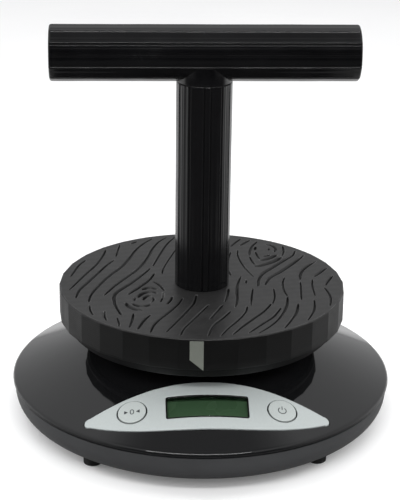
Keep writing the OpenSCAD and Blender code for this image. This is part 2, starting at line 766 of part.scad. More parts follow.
// A smooth centre line through the points: a Catmull-Rom spline with 4 steps a span
function point_at(points, i) = points[max(0, min(len(points) - 1, i))];
function spline(points, steps = 4) = concat([points[0]], [
    for (i = [0 : len(points) - 2], k = [1 : steps]) let (t = k / steps,
        a = point_at(points, i - 1), b = points[i],
        c = points[i + 1], d = point_at(points, i + 2))
    0.5 * (2 * b + (c - a) * t + (2 * a - 5 * b + 4 * c - d) * t * t
        + (3 * b - a - 3 * c + d) * t * t * t)]);

// One groove along a centre line: widest in the middle, tapered at both ends
function stroke(line, half) = let (last = len(line) - 1)
    band(line, [for (i = [0 : last]) half * (0.3 + 0.7 * pow(sin(180 * i / last), 0.4))]);

module grain() {
    for (g = grain_lines)
        polygon(stroke(spline([for (i = [1 : len(g) - 1]) g[i]]), g[0] * grain_width));
}

// The two dowels' places across the post
module at_dowels() {
    along_x([-dowel_x, dowel_x]) children();
}

module perch_base() {
    wear = 0.7;
    color("#232425") difference() {
        union() {
            up(base_z) cylinder(h = base_t - grain_depth, r = base_r, $fn = 180);
            // grained layer, left plain under the post
            up(base_top - grain_depth) linear_extrude(height = grain_depth) difference() {
                circle(r = base_r, $fn = 180);
                difference() {
                    grain();
                    circle(r = post_r + 0.1, $fn = 96);
                }
            }
        }
        // worn top edge
        rotate_extrude($fn = 180) polygon([
            [base_r - wear, base_top + 0.01], [base_r + 1, base_top + 0.01],
            [base_r + 1, base_top - wear - 1], [base_r + 0.001, base_top - wear]]);
        // recess for the tie bolt's head and washer
        up(base_z - 1) cylinder(h = washer_z + washer_t - base_z + 1, r = 7.6, $fn = 60);
        up(base_z) cylinder(h = base_t + 1, r = tie_r, $fn = 48);
        at_dowels() up(base_top - dowel_in) cylinder(h = dowel_in + 1, r = dowel_r, $fn = 32);
    }
}

// Repeatable scatter between 0 and 1
function hash(i) = let (s = sin(i * 127.1 + 31.7) * 43.7585) s - floor(s);

// Fluted section shared by the post and the crossbar, as [angle, radius] points:
// lands between main grooves, each land a little flattened and finely ribbed
function land(start, end, flatness, ribbing, seed) = let (
        middle = (start + end) / 2,
        half = (end - start) / 2 - 2.4,
        steps = max(2, round(half * 2 / 3.4)))
    [for (i = [0 : steps]) let (
        a = middle - half + 2 * half * i / steps,
        flat = flatness * cos(half) / cos(a - middle) + (1 - flatness),
        rib = i > 0 && i < steps ? ribbing * hash(i * 3.1 + seed) : 0)
        [a, post_r * flat - rib]];
function section(grooves, flatness, ribbing, depth) = [
    for (i = [0 : len(grooves) - 1]) let (
        start = grooves[i],
        end = i + 1 < len(grooves) ? grooves[i + 1] : grooves[0] + 360)
    each concat([[start, post_r - depth]], land(start, end, flatness, ribbing, i * 5))];

// Main grooves of the bar, in degrees from the front, upwards
bar_grooves = [-49, -17, 30, 61, 92, 124, 158, 191, 222, 252, 281];
// Main grooves of the post, in degrees from the front, towards +X
post_grooves = [-64, -33, -2, 12, 37, 62, 90, 118, 149, 181, 214, 242, 268];

module post_body() {
    outline = section(post_grooves, flatness = 0.35, ribbing = 0.22, depth = 0.75);
    linear_extrude(height = bar_up - post_r)
        polygon([for (q = outline) [q[1] * sin(q[0]), -q[1] * cos(q[0])]]);
}

module perch_post() {
    neck_z = 20;
    color("#1c1d1e") up(base_top) difference() {
        union() {
            post_body();
            // plain neck that sits in the bar
            up(neck_z) cylinder(h = bar_up - neck_in - neck_z, r = neck_r, $fn = 120);
        }
        up(-1) cylinder(h = bar_up + 2, r = tie_r, $fn = 48);
        at_dowels() up(-1) cylinder(h = dowel_in + 1, r = dowel_r, $fn = 32);
    }
}

module bar_body() {
    outline = section(bar_grooves, flatness = 0.55, ribbing = 0.16, depth = 0.7);
    half = bar_l / 2;
    intersection() {
        translate([-half, 0, 0]) rotate([90, 0, 90]) linear_extrude(height = bar_l)
            polygon([for (q = outline) [-q[1] * cos(q[0]), q[1] * sin(q[0])]]);
        // bevelled ends
        rotate([0, 90, 0]) rotate_extrude($fn = 120) polygon([
            [0, -half], [post_r - 0.9, -half], [post_r + 0.3, -half + 1.2],
            [post_r + 0.3, half - 1.2], [post_r - 0.9, half], [0, half]]);
    }
}

module perch_bar() {
    color("#1c1d1e") up(bar_z) difference() {
        bar_body();
        // seat of the post's neck
        up(-post_r - 1) cylinder(h = post_r + 1 - neck_in, r = neck_r, $fn = 120);
        // hole of the insert
        up(-neck_in - 1) cylinder(h = neck_in + 10.2, r = insert_r, $fn = 48);
    }
}

// Bolt up through the base and post into the bar's insert, with a hexagon socket
module tie_bolt() {
    head_h = 4;
    color("#85888c") difference() {
        union() {
            up(washer_z - head_h) cylinder(h = head_h, r = 5, $fn = 60);
            up(washer_z) cylinder(h = bar_z + 8 - washer_z, r = tie_r, $fn = 48);
        }
        up(base_z) cylinder(h = 3.4, r = 2.9, $fn = 6);
    }
}

module tie_washer() {
    color("#a5a8ab") up(washer_z) difference() {
        cylinder(h = washer_t, r = 7, $fn = 60);
        up(-1) cylinder(h = 3, r = tie_r, $fn = 48);
    }
}

module bar_insert() {
    color("#b8923f") up(bar_z + 0.6) difference() {
        cylinder(h = 8.4, r = insert_r, $fn = 48);
        up(-1) cylinder(h = 12, r = tie_r, $fn = 48);
    }
}

module post_dowels() {
    color("#9a9da0") at_dowels() up(base_top - dowel_in)
        cylinder(h = 2 * dowel_in, r = dowel_r, $fn = 32);
}

// Thin pale tape on the front of the perch base, with its lower -X corner cut off
module index_strip() {
    half = 3.3;
    top = base_top - 0.8;
    color("#8f948c") rotate([0, 0, -4.4]) intersection() {
        up(base_z) difference() {
            cylinder(h = base_t, r = base_r + 0.25, $fn = 180);
            up(-1) cylinder(h = base_t + 2, r = base_r, $fn = 180);
        }
        translate([0, -base_r + 4, 0]) rotate([90, 0, 0]) linear_extrude(height = 6)
            polygon([[half, base_z + 0.15], [half, top], [-half, top], [-half, base_z + 5.6]]);
    }
}

bottom_case();
top_case();
face_panel();
lcd_bezel();
lcd_window();
lcd_frame();
lcd_glass();
zebra_strips();
main_board();
control_chip();
tact_switches();
tare_plunger();
power_plunger();
board_screws();
tare_button();
power_button();
load_cell();
strain_gauges();
cell_spacer();
cell_base_screws();
overload_stop();
cell_cable();
battery_leads();
battery_contacts();
battery_springs();
batteries();
battery_flap();
rubber_feet();
case_screws();
weighing_pan();
pan_bracket();
pan_grommets();
cell_top_screws();
perch_base();
perch_post();
perch_bar();
tie_bolt();
tie_washer();
bar_insert();
post_dowels();
index_strip();
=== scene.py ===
"""Bird-weighing scale: a round case with a coned top, a tilted display and two keys, and a
T-shaped perch on a carved disc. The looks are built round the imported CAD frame.
The frame is in metres with +Z up; the axis is x = y = 0 and the display faces -Y."""
import json
import math

import bmesh
import bpy
import numpy as np
from mathutils import Matrix, Vector
from mathutils.geometry import delaunay_2d_cdt


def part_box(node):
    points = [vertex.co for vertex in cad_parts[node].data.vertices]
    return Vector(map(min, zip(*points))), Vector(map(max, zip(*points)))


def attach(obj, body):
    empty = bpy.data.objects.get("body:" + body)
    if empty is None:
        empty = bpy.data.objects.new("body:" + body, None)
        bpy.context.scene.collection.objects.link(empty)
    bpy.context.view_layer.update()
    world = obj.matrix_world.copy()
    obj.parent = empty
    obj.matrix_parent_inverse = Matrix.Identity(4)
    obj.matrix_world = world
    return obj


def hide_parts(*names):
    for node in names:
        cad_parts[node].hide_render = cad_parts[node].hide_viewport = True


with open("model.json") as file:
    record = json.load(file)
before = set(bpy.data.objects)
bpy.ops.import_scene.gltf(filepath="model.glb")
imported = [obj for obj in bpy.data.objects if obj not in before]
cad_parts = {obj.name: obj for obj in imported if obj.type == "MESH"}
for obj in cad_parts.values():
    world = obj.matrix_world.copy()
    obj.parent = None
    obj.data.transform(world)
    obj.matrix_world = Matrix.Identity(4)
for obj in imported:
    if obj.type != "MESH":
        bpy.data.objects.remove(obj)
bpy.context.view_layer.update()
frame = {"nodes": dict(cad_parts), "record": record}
rad = math.radians

# ---------------------------------------------------------------- main sizes
# Shapes are worked out in millimetres; MM turns them into metres.
MM = 0.001
case_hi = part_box("top_case")[1]
disc_lo, disc_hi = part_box("perch_base")
bar_lo, bar_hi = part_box("perch_bar")

DISC_R = disc_hi.x / MM
DISC_Z0, DISC_Z1 = disc_lo.z / MM, disc_hi.z / MM
POST_R = 13.8                     # the post and the bar share this radius
BAR_L = (bar_hi.x - bar_lo.x) / MM
BAR_Z = bar_hi.z / MM - POST_R    # height of the bar's axis

# the case's top is a cone that rises from its rim towards the axis
SLOPE = 23.5
TAN, COS = math.tan(rad(SLOPE)), math.cos(rad(SLOPE))
RIM_R = case_hi.x / MM - 1.5
SEAM_Z = 22.2
RIM_Z = SEAM_Z + 3.05


def shell_z(r):
    """Height of the cone at radius r."""
    return RIM_Z + (RIM_R - r) * TAN


# ---------------------------------------------------------------- node trees
class NodeNet:
    """Builds a node tree, laid out in one row."""

    def __init__(self, tree):
        self.tree = tree
        self.tree.nodes.clear()
        self.column = 0

    def new(self, kind, inputs=None, **settings):
        node = self.tree.nodes.new(kind)
        self.column += 180
        node.location = (self.column, 0)
        for name, value in settings.items():
            setattr(node, name, value)
        for key, value in (inputs or {}).items():
            self.feed(node.inputs[key], value)
        return node

    def feed(self, socket, value):
        """Links an input to another node's output, or sets its value."""
        if isinstance(value, bpy.types.NodeSocket):
            self.tree.links.new(value, socket)
        elif socket.type == "RGBA" and len(value) == 3:
            socket.default_value = (*value, 1)
        else:
            socket.default_value = value

    def coords(self, scale=(1, 1, 1), turn=(0, 0, 0)):
        source = self.new("ShaderNodeTexCoord").outputs["Object"]
        inputs = {"Vector": source, "Scale": scale, "Rotation": turn}
        return self.new("ShaderNodeMapping", inputs).outputs["Vector"]

    def noise(self, coords, scale, detail=3.0, rough=0.55):
        inputs = {"Vector": coords, "Scale": scale, "Detail": detail, "Roughness": rough}
        return self.new("ShaderNodeTexNoise", inputs).outputs["Fac"]

    def span(self, value, to=(0.0, 1.0), over=(0.0, 1.0), kind="LINEAR"):
        """Maps value from the range `over` to the range `to`."""
        inputs = {"Value": value, "From Min": over[0], "From Max": over[1],
                  "To Min": to[0], "To Max": to[1]}
        return self.new("ShaderNodeMapRange", inputs, interpolation_type=kind).outputs["Result"]

    def math(self, operation, a, b, clamp=False):
        node = self.new("ShaderNodeMath", {0: a, 1: b}, operation=operation, use_clamp=clamp)
        return node.outputs[0]

    def xyz(self, vector):
        return self.new("ShaderNodeSeparateXYZ", {0: vector}).outputs

    def mix(self, share, a, b):
        return self.new("ShaderNodeMix", {0: share, 6: a, 7: b}, data_type="RGBA").outputs[2]

    def mix_shader(self, share, a, b):
        return self.new("ShaderNodeMixShader", {0: share, 1: a, 2: b}).outputs[0]

    def bump(self, height, strength, distance, under=None):
        inputs = {"Strength": strength, "Distance": distance, "Height": height}
        if under is not None:
            inputs["Normal"] = under
        return self.new("ShaderNodeBump", inputs).outputs["Normal"]

    def finish(self, colour, rough, normal, metal=0.0, coat=0.0, coat_rough=0.05, spec=0.5):
        shader = self.new("ShaderNodeBsdfPrincipled", {
            "Base Color": colour, "Roughness": rough, "Metallic": metal, "IOR": 1.5,
            "Specular IOR Level": spec, "Coat Weight": coat, "Coat Roughness": coat_rough,
            "Normal": normal})
        self.new("ShaderNodeOutputMaterial", {"Surface": shader.outputs[0]})


def new_material(name):
    mat = bpy.data.materials.new(name)
    mat.use_nodes = True
    return mat, NodeNet(mat.node_tree)


def shade(colour, factor, lift=0.0):
    return tuple(min(1, c * factor + lift) for c in colour)


# ---------------------------------------------------------------- materials
MIDDLE = (0.3, 0.7)                   # the part of a noise's range that holds most of it
TILTED = (rad(-SLOPE), 0, 0)          # turns texture space to the display's slope


def edge_wear_and_highlight(net, radius=0.0006):
    """1 on edges, 0 elsewhere: the bevelled normal against the true one."""
    bevel = net.new("ShaderNodeBevel", {"Radius": radius}, samples=4)
    true = net.new("ShaderNodeNewGeometry")
    dot = net.new("ShaderNodeVectorMath",
                  {0: bevel.outputs["Normal"], 1: true.outputs["Normal"]},
                  operation="DOT_PRODUCT")
    return net.span(dot.outputs["Value"], over=(0.995, 0.86))


def gloss_black(net, base=(0.0045, 0.0046, 0.005), matt_below=False):
    """Polished black with smudges, scratches and dust; optionally matt on its underside."""
    coords = net.coords()
    smudge = net.noise(coords, scale=38, detail=4, rough=0.6)
    grain = net.noise(coords, scale=900, detail=2, rough=0.5)
    scratch = net.noise(net.coords(turn=(0.3, 0.2, 0.7)), scale=260, detail=5, rough=0.7)
    rough = net.math("ADD", net.span(smudge, to=(0.03, 0.10), over=(0.35, 0.75)),
                     net.span(scratch, to=(0.0, 0.035), over=(0.55, 0.8)))
    dust = net.math("MULTIPLY", net.span(grain, over=(0.66, 0.8)),
                    net.span(smudge, to=(0.0, 0.35), over=(0.35, 0.8)), clamp=True)
    colour = net.mix(dust, base, (0.05, 0.05, 0.052))
    # moulded surface: a very slow waviness and a faint orange peel
    waves = net.noise(coords, scale=55, detail=1, rough=0.4)
    normal = net.bump(waves, strength=0.12, distance=0.0004)
    normal = net.bump(grain, strength=0.015, distance=0.0002, under=normal)
    coat, spec = 0.35, 0.5
    if matt_below:
        facing = net.xyz(net.new("ShaderNodeNewGeometry").outputs["True Normal"])
        matt = net.span(facing["Z"], to=(0.5, 0.0), over=(-0.16, -0.02))
        rough = net.math("ADD", rough, matt, clamp=True)
        coat, spec = 0.0, 0.4
    net.finish(colour, rough, normal, coat=coat, coat_rough=0.02, spec=spec)


def satin_plastic(net, base, rough, grain, bump, spread, wear=True):
    """Fine-grained plastic. grain: noise scale; spread: share by which the shade varies."""
    coords = net.coords()
    blotch = net.noise(coords, scale=30, detail=4, rough=0.6)
    fine = net.noise(coords, scale=grain, detail=3, rough=0.6)
    colour = net.mix(net.span(blotch, over=MIDDLE), shade(base, 1 - spread),
                     shade(base, 1 + spread))
    if wear:
        pale_edges = net.math("MULTIPLY", edge_wear_and_highlight(net), net.span(fine, to=(0.1, 0.5), over=MIDDLE))
        colour = net.mix(pale_edges, colour, shade(base, factor=1.8, lift=0.02))
    roughness = net.math("ADD", net.span(blotch, to=(-0.05, 0.07), over=MIDDLE),
                         net.span(fine, to=(rough - 0.05, rough + 0.06), over=MIDDLE))
    net.finish(colour, roughness, net.bump(fine, strength=bump, distance=0.00012))


def printed_plastic(net, base, rough, line_bump, speck, edge, haze, spec=0.5, even=0.25,
                    painted_shade_below_top=None):
    """Layer-printed plastic: fine lines across Z, faint blotches, and paler edges that are
    partly wear and partly a painted highlight.

    speck: strength of pale specks; edge: grey of the pale edges; haze: bump of the fine grain;
    even: least share of the pale edges; painted_shade_below_top: heights between which the
    colour passes from the painted shade to full, and the shade's share.
    """
    coords = net.coords()
    lines = net.new("ShaderNodeTexWave",
                    {"Vector": coords, "Scale": 300.0, "Distortion": 0.6, "Detail": 1.0},
                    wave_type="BANDS", bands_direction="Z", wave_profile="SIN").outputs["Fac"]
    blotch = net.noise(coords, scale=60, detail=4, rough=0.65)
    fine = net.noise(coords, scale=1300, detail=3, rough=0.6)
    colour = net.mix(net.span(blotch, over=(0.3, 0.72)), shade(base, 0.8), shade(base, 1.25))
    specks = net.span(fine, to=(0.0, speck), over=(0.58, 0.78))
    colour = net.mix(specks, colour, (0.16, 0.16, 0.16))
    # paler edges: partly wear, partly a painted highlight along the edges
    pale_edges = net.math("MULTIPLY", edge_wear_and_highlight(net, radius=0.0005),
                    net.span(blotch, to=(even, 0.9), over=MIDDLE))
    colour = net.mix(pale_edges, colour, (edge, edge, edge))
    if painted_shade_below_top:
        # painted shade: faces lying below the top face, the grooves and the side, are darker
        low, high, dark = painted_shade_below_top
        height = net.span(net.xyz(coords)["Z"], over=(low, high))
        colour = net.mix(height, shade(base, dark), colour)
    roughness = net.math("ADD", net.span(blotch, to=(rough - 0.06, rough + 0.06), over=MIDDLE),
                         net.span(lines, to=(-0.03, 0.03)))
    normal = net.bump(lines, strength=line_bump, distance=0.00006)
    normal = net.bump(fine, strength=haze, distance=0.0001, under=normal)
    net.finish(colour, roughness, normal, spec=spec)


def silver_paint(net, base):
    """Metallic paint: each flake has its own shade and roughness."""
    coords = net.coords()
    flake = net.new("ShaderNodeTexVoronoi", {"Vector": coords, "Scale": 5200}, feature="F1")
    blotch = net.noise(coords, scale=26, detail=3, rough=0.5)
    fine = net.noise(coords, scale=2200, detail=2, rough=0.6)
    flake = net.new("ShaderNodeSeparateColor", {"Color": flake.outputs["Color"]}).outputs
    colour = net.mix(net.span(flake["Red"]), shade(base, 0.93), shade(base, 1.06))
    blotches = net.span(blotch, to=(0.0, 0.22), over=(0.45, 0.8))
    colour = net.mix(blotches, colour, shade(base, 0.9))
    rough = net.math("ADD", net.span(flake["Green"], to=(0.30, 0.44)),
                     net.span(blotch, to=(-0.03, 0.04), over=MIDDLE))
    net.finish(colour, rough, net.bump(fine, strength=0.05, distance=0.00008),
               metal=0.08, coat=0.2, coat_rough=0.12)


def brushed_metal(net, base, rough, stretch=(1, 1, 12)):
    """Metal with a grain whose texture space is scaled by stretch."""
    grain = net.noise(net.coords(stretch), scale=700, detail=4, rough=0.6)
    blotch = net.noise(net.coords(), scale=120, detail=3, rough=0.6)
    colour = net.mix(net.span(blotch, over=MIDDLE), shade(base, 0.85), base)
    roughness = net.math("ADD", net.span(grain, to=(rough - 0.06, rough + 0.12), over=MIDDLE),
                         net.span(blotch, to=(0, 0.06), over=(0.4, 0.8)))
    net.finish(colour, roughness, net.bump(grain, strength=0.08, distance=0.00006), metal=1.0)


def rubber(net, base=(0.016, 0.016, 0.016)):
    coords = net.coords()
    grain = net.noise(coords, scale=1800, detail=3, rough=0.7)
    blotch = net.noise(coords, scale=140, detail=3, rough=0.6)
    bloom = net.span(blotch, to=(0.0, 0.6), over=(0.4, 0.8))
    colour = net.mix(bloom, base, shade(base, factor=2.2, lift=0.012))
    net.finish(colour, net.span(grain, to=(0.62, 0.85)),
               net.bump(grain, strength=0.25, distance=0.0001), spec=0.35)


def board_green(net):
    """Circuit board: green cells between paler lines."""
    coords = net.coords(turn=TILTED)
    cells = net.new("ShaderNodeTexBrick", {
        "Vector": coords, "Scale": 160, "Mortar Size": 0.10, "Color1": (0.012, 0.10, 0.04),
        "Color2": (0.014, 0.12, 0.05), "Mortar": (0.02, 0.19, 0.075)})
    fine = net.noise(coords, scale=1500, detail=2, rough=0.5)
    net.finish(cells.outputs["Color"], net.span(fine, to=(0.28, 0.42)),
               net.bump(cells.outputs["Fac"], strength=0.3, distance=0.00005), coat=0.2)


def display_lens(net):
    """Smoked clear cover: mostly see-through, mirror-like at its face."""
    coords = net.coords()
    smudge = net.noise(coords, scale=60, detail=3, rough=0.5)
    clear = net.new("ShaderNodeBsdfTransparent", {"Color": (0.80, 0.86, 0.80)}).outputs[0]
    mirror = net.new("ShaderNodeBsdfGlossy", {
        "Color": (1, 1, 1), "Roughness": net.span(smudge, to=(0.02, 0.07))}).outputs[0]
    ripple = net.bump(net.noise(coords, scale=300, detail=2), strength=0.02, distance=0.0002)
    fresnel = net.new("ShaderNodeFresnel", {"IOR": 1.5, "Normal": ripple}).outputs["Fac"]
    back = net.new("ShaderNodeNewGeometry").outputs["Backfacing"]
    share = net.math("MULTIPLY", fresnel, net.math("SUBTRACT", 1.0, back))
    surface = net.mix_shader(share, clear, mirror)
    net.new("ShaderNodeOutputMaterial", {"Surface": surface})


def lcd_face(net):
    """Reflective grey-green liquid crystal with a faint cell grid."""
    coords = net.coords(turn=TILTED)
    grid = net.new("ShaderNodeTexChecker", {"Vector": coords, "Scale": 2500}).outputs["Fac"]
    blotch = net.noise(coords, scale=45, detail=3, rough=0.5)
    colour = net.mix(net.span(blotch, over=MIDDLE), (0.084, 0.132, 0.088),
                     (0.108, 0.160, 0.108))
    colour = net.mix(net.math("MULTIPLY", grid, 0.05), colour, (0.05, 0.08, 0.055))
    net.finish(colour, net.span(blotch, to=(0.22, 0.34)),
               net.bump(grid, strength=0.02, distance=0.00002))


def battery_sleeve(net):
    """Dark sleeve with a copper-coloured, more metallic end towards +X."""
    coords = net.coords()
    band = net.span(net.xyz(coords)["X"], over=(0.011, 0.0112))
    grain = net.noise(coords, scale=400, detail=3, rough=0.5)
    colour = net.mix(band, (0.05, 0.055, 0.06), (0.50, 0.34, 0.14))
    net.finish(colour, net.span(grain, to=(0.18, 0.3)),
               net.bump(grain, strength=0.04, distance=0.0001),
               metal=net.span(band, to=(0.1, 0.7)), coat=0.4)


# material slot: the function that builds it and its settings
LOOK_TABLE = {
    "lower_shell": (satin_plastic, dict(
        base=(0.040, 0.041, 0.043), rough=0.38, grain=1400, bump=0.10, spread=0.15)),
    "upper_shell": (gloss_black, {}),
    "silver_face": (silver_paint, dict(base=(0.435, 0.47, 0.465))),
    "bezel_black": (gloss_black, dict(base=(0.006, 0.006, 0.006))),
    "display_lens": (display_lens, {}),
    "inner_plastic": (satin_plastic, dict(
        base=(0.45, 0.45, 0.42), rough=0.5, grain=900, bump=0.1, spread=0.08)),
    "display_glass": (lcd_face, {}),
    "contact_rubber": (rubber, dict(base=(0.22, 0.08, 0.09))),
    "board_laminate": (board_green, {}),
    "chip_resin": (satin_plastic, dict(
        base=(0.015, 0.015, 0.016), rough=0.55, grain=2500, bump=0.2, spread=0.2)),
    "switch_black": (satin_plastic, dict(
        base=(0.02, 0.02, 0.02), rough=0.5, grain=2500, bump=0.15, spread=0.2)),
    "screw_steel": (brushed_metal, dict(base=(0.50, 0.50, 0.51), rough=0.26)),
    "key_silver": (silver_paint, dict(base=(0.45, 0.485, 0.475))),
    "cell_aluminium": (brushed_metal, dict(
        base=(0.72, 0.72, 0.73), rough=0.30, stretch=(10, 1, 1))),
    "gauge_film": (satin_plastic, dict(
        base=(0.72, 0.68, 0.55), rough=0.35, grain=700, bump=0.3, spread=0.1)),
    "spacer_steel": (brushed_metal, dict(base=(0.45, 0.45, 0.46), rough=0.35)),
    "cable_jacket": (satin_plastic, dict(
        base=(0.45, 0.45, 0.43), rough=0.45, grain=1200, bump=0.1, spread=0.1)),
    "lead_red": (satin_plastic, dict(
        base=(0.42, 0.02, 0.018), rough=0.4, grain=1200, bump=0.1, spread=0.15)),
    "contact_nickel": (brushed_metal, dict(base=(0.68, 0.65, 0.58), rough=0.2)),
    "spring_nickel": (brushed_metal, dict(base=(0.70, 0.68, 0.62), rough=0.18)),
    "battery_jacket": (battery_sleeve, {}),
    "flap_black": (satin_plastic, dict(
        base=(0.038, 0.039, 0.041), rough=0.42, grain=1400, bump=0.10, spread=0.18)),
    "foot_rubber": (rubber, {}),
    "pan_gloss": (gloss_black, dict(matt_below=True)),
    "bracket_aluminium": (brushed_metal, dict(
        base=(0.58, 0.58, 0.60), rough=0.42, stretch=(1, 1, 1))),
    "grommet_rubber": (rubber, dict(base=(0.03, 0.03, 0.03))),
    # pale edges are partly wear and partly a painted highlight; the grooves and the side get a
    # painted shade
    "perch_disc": (printed_plastic, dict(
        base=(0.0145, 0.0143, 0.0144), rough=0.45, line_bump=0.15, speck=0.14, edge=0.16,
        haze=0.10, painted_shade_below_top=(DISC_Z1 * MM - 0.0007, DISC_Z1 * MM - 0.0002, 0.1))),
    # edge and even give a thin, continuous painted highlight along the flutes' edges
    "perch_body": (printed_plastic, dict(
        base=(0.0024, 0.0024, 0.0028), rough=0.19, line_bump=0.03, speck=0.006, edge=0.012,
        haze=0.015, spec=0.55, even=0.7)),
    "tie_steel": (brushed_metal, dict(base=(0.52, 0.52, 0.53), rough=0.28)),
    "insert_brass": (brushed_metal, dict(base=(0.72, 0.50, 0.20), rough=0.3)),
    # painted reflection: the pale strip on the disc's side stands in for a reflection of a
    # bright area in front
    "marker_grey": (satin_plastic, dict(
        base=(0.135, 0.145, 0.125), rough=0.6, grain=1600, bump=0.2, spread=0.12, wear=False)),
    "key_print": (satin_plastic, dict(
        base=(0.035, 0.036, 0.04), rough=0.45, grain=2500, bump=0.1, spread=0.2, wear=False)),
}


def build_look(slot, maker, settings):
    mat, net = new_material(slot + "_look")
    maker(net, **settings)
    return mat


LOOKS = {slot: build_look(slot, *entry) for slot, entry in LOOK_TABLE.items()}


# ---------------------------------------------------------------- looks of the CAD pieces
def dress_cad():
    slot_of = {part["node"]: part["material_slot"] for part in frame["record"]["subparts"]}
    for name, ob in frame["nodes"].items():
        mat = LOOKS[slot_of[name]]
        if ob.material_slots:
            for slot in ob.material_slots:
                slot.material = mat
        else:
            ob.data.materials.append(mat)


def smooth_by_angle(limit):
    """Node group that smooths faces and keeps edges steeper than limit degrees sharp."""
    group = bpy.data.node_groups.new("smooth_by_angle", "GeometryNodeTree")
    for way in ("INPUT", "OUTPUT"):
        group.interface.new_socket("Geometry", in_out=way, socket_type="NodeSocketGeometry")
    net = NodeNet(group)
    source = net.new("NodeGroupInput")
    result = net.new("NodeGroupOutput")
    plain = net.new("GeometryNodeRemoveAttribute",
                    {0: source.outputs[0], "Name": "custom_normal"})
    soft = net.new("GeometryNodeSetShadeSmooth",
                   {"Geometry": plain.outputs[0], "Shade Smooth": True}, domain="FACE")
    angle = net.new("GeometryNodeInputMeshEdgeAngle").outputs["Unsigned Angle"]
    steep = net.new("FunctionNodeCompare", {0: angle, 1: rad(limit)}, operation="GREATER_THAN")
    creased = net.new("GeometryNodeSetShadeSmooth",
                      {"Geometry": soft.outputs[0], "Shade Smooth": False,
                       "Selection": steep.outputs[0]}, domain="EDGE")
    net.feed(result.inputs[0], creased.outputs[0])
    return group


def add_weighted_normals(ob, weight):
    weighted = ob.modifiers.new("weighted", "WEIGHTED_NORMAL")
    weighted.keep_sharp = True
    weighted.weight = weight


def soften_cad():
    """Smooth shading for the large CAD mouldings."""
    group = smooth_by_angle(limit=33)
    for name in ("top_case", "bottom_case", "weighing_pan", "rubber_feet"):
        ob = frame["nodes"][name]
        ob.modifiers.new("weld", "WELD").merge_threshold = 2e-6
        ob.modifiers.new("soft", "NODES").node_group = group
        add_weighted_normals(ob, weight=75)


dress_cad()
soften_cad()


# ---------------------------------------------------------------- mesh helpers
def crease(bm, angle):
    """Marks edges steeper than angle degrees as sharp."""
    for edge in bm.edges:
        steep = len(edge.link_faces) == 2 and edge.calc_face_angle(0) > rad(angle)
        edge.smooth = not steep


def register(ob, body, replaces=None):
    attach(ob, body)
    if replaces:
        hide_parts(replaces)


def to_object(name, verts, faces, mat, smooth=True, sharp=None, weighted=False, body=None,
              slot=None, replaces=None):
    """Makes an object from millimetre points. sharp: crease angle in degrees."""
    mesh = bpy.data.meshes.new(name)
    mesh.from_pydata([tuple(c * MM for c in v) for v in verts], [],
                     [tuple(int(i) for i in face) for face in faces])
    mesh.validate()
    bm = bmesh.new()
    bm.from_mesh(mesh)
    bmesh.ops.remove_doubles(bm, verts=bm.verts, dist=1e-7)
    bmesh.ops.recalc_face_normals(bm, faces=bm.faces)
    if sharp is not None:
        crease(bm, sharp)
    bm.to_mesh(mesh)
    bm.free()
    mesh.polygons.foreach_set("use_smooth", [smooth] * len(mesh.polygons))
    mesh.materials.append(mat)
    ob = bpy.data.objects.new(name, mesh)
    bpy.context.scene.collection.objects.link(ob)
    if weighted:
        add_weighted_normals(ob, weight=80)
    if body:
        register(ob, body, replaces)
    return ob


def apply_modifiers(ob):
    depsgraph = bpy.context.evaluated_depsgraph_get()
    mesh = bpy.data.meshes.new_from_object(
        ob.evaluated_get(depsgraph), preserve_all_data_layers=True, depsgraph=depsgraph)
    ob.modifiers.clear()
    old = ob.data
    ob.data = mesh
    bpy.data.meshes.remove(old)


def mark_sharp(ob, angle):
    bm = bmesh.new()
    bm.from_mesh(ob.data)
    crease(bm, angle)
    bm.to_mesh(ob.data)
    bm.free()
    ob.data.polygons.foreach_set("use_smooth", [True] * len(ob.data.polygons))


def ring_faces(a, b, count, flip=False):
    """Quads between two rings of count vertices that start at index a and b."""
    out = []
    for i in range(count):
        j = (i + 1) % count
        quad = (a + i, a + j, b + j, b + i)
        out.append(quad[::-1] if flip else quad)
    return out


def lathe(profile, count, centre):
    """Closed body of revolution from (r, z) points; points at r 0 become poles."""
    verts, faces, rings = [], [], []
    for r, z in profile:
        pole = r < 1e-6
        rings.append((pole, len(verts)))
        if pole:
            verts.append((centre[0], centre[1], z))
            continue
        for i in range(count):
            a = 2 * math.pi * i / count
            verts.append((centre[0] + r * math.cos(a), centre[1] + r * math.sin(a), z))
    for (pole_a, a), (pole_b, b) in zip(rings, rings[1:] + rings[:1]):
        if not pole_a and not pole_b:
            faces += ring_faces(a, b, count)
        elif not pole_a:
            faces += [(a + i, a + (i + 1) % count, b) for i in range(count)]
        elif not pole_b:
            faces += [(b + (i + 1) % count, b + i, a) for i in range(count)]
    return verts, faces


def cut_lathed(ob, profile, count, centre=(0, 0)):
    """Cuts a body of revolution out of a perch piece."""
    cutter = to_object("cutter", *lathe(profile, count, centre), LOOKS["perch_body"])
    boolean = ob.modifiers.new("cut", "BOOLEAN")
    boolean.operation, boolean.solver, boolean.object = "DIFFERENCE", "EXACT", cutter
    apply_modifiers(ob)
    mesh = cutter.data
    bpy.data.objects.remove(cutter)
    bpy.data.meshes.remove(mesh)


def drill(ob, radius, z0, z1, count, centre=(0, 0)):
    cut_lathed(ob, [(radius, z0), (radius, z1), (0, z1), (0, z0)], count, centre)


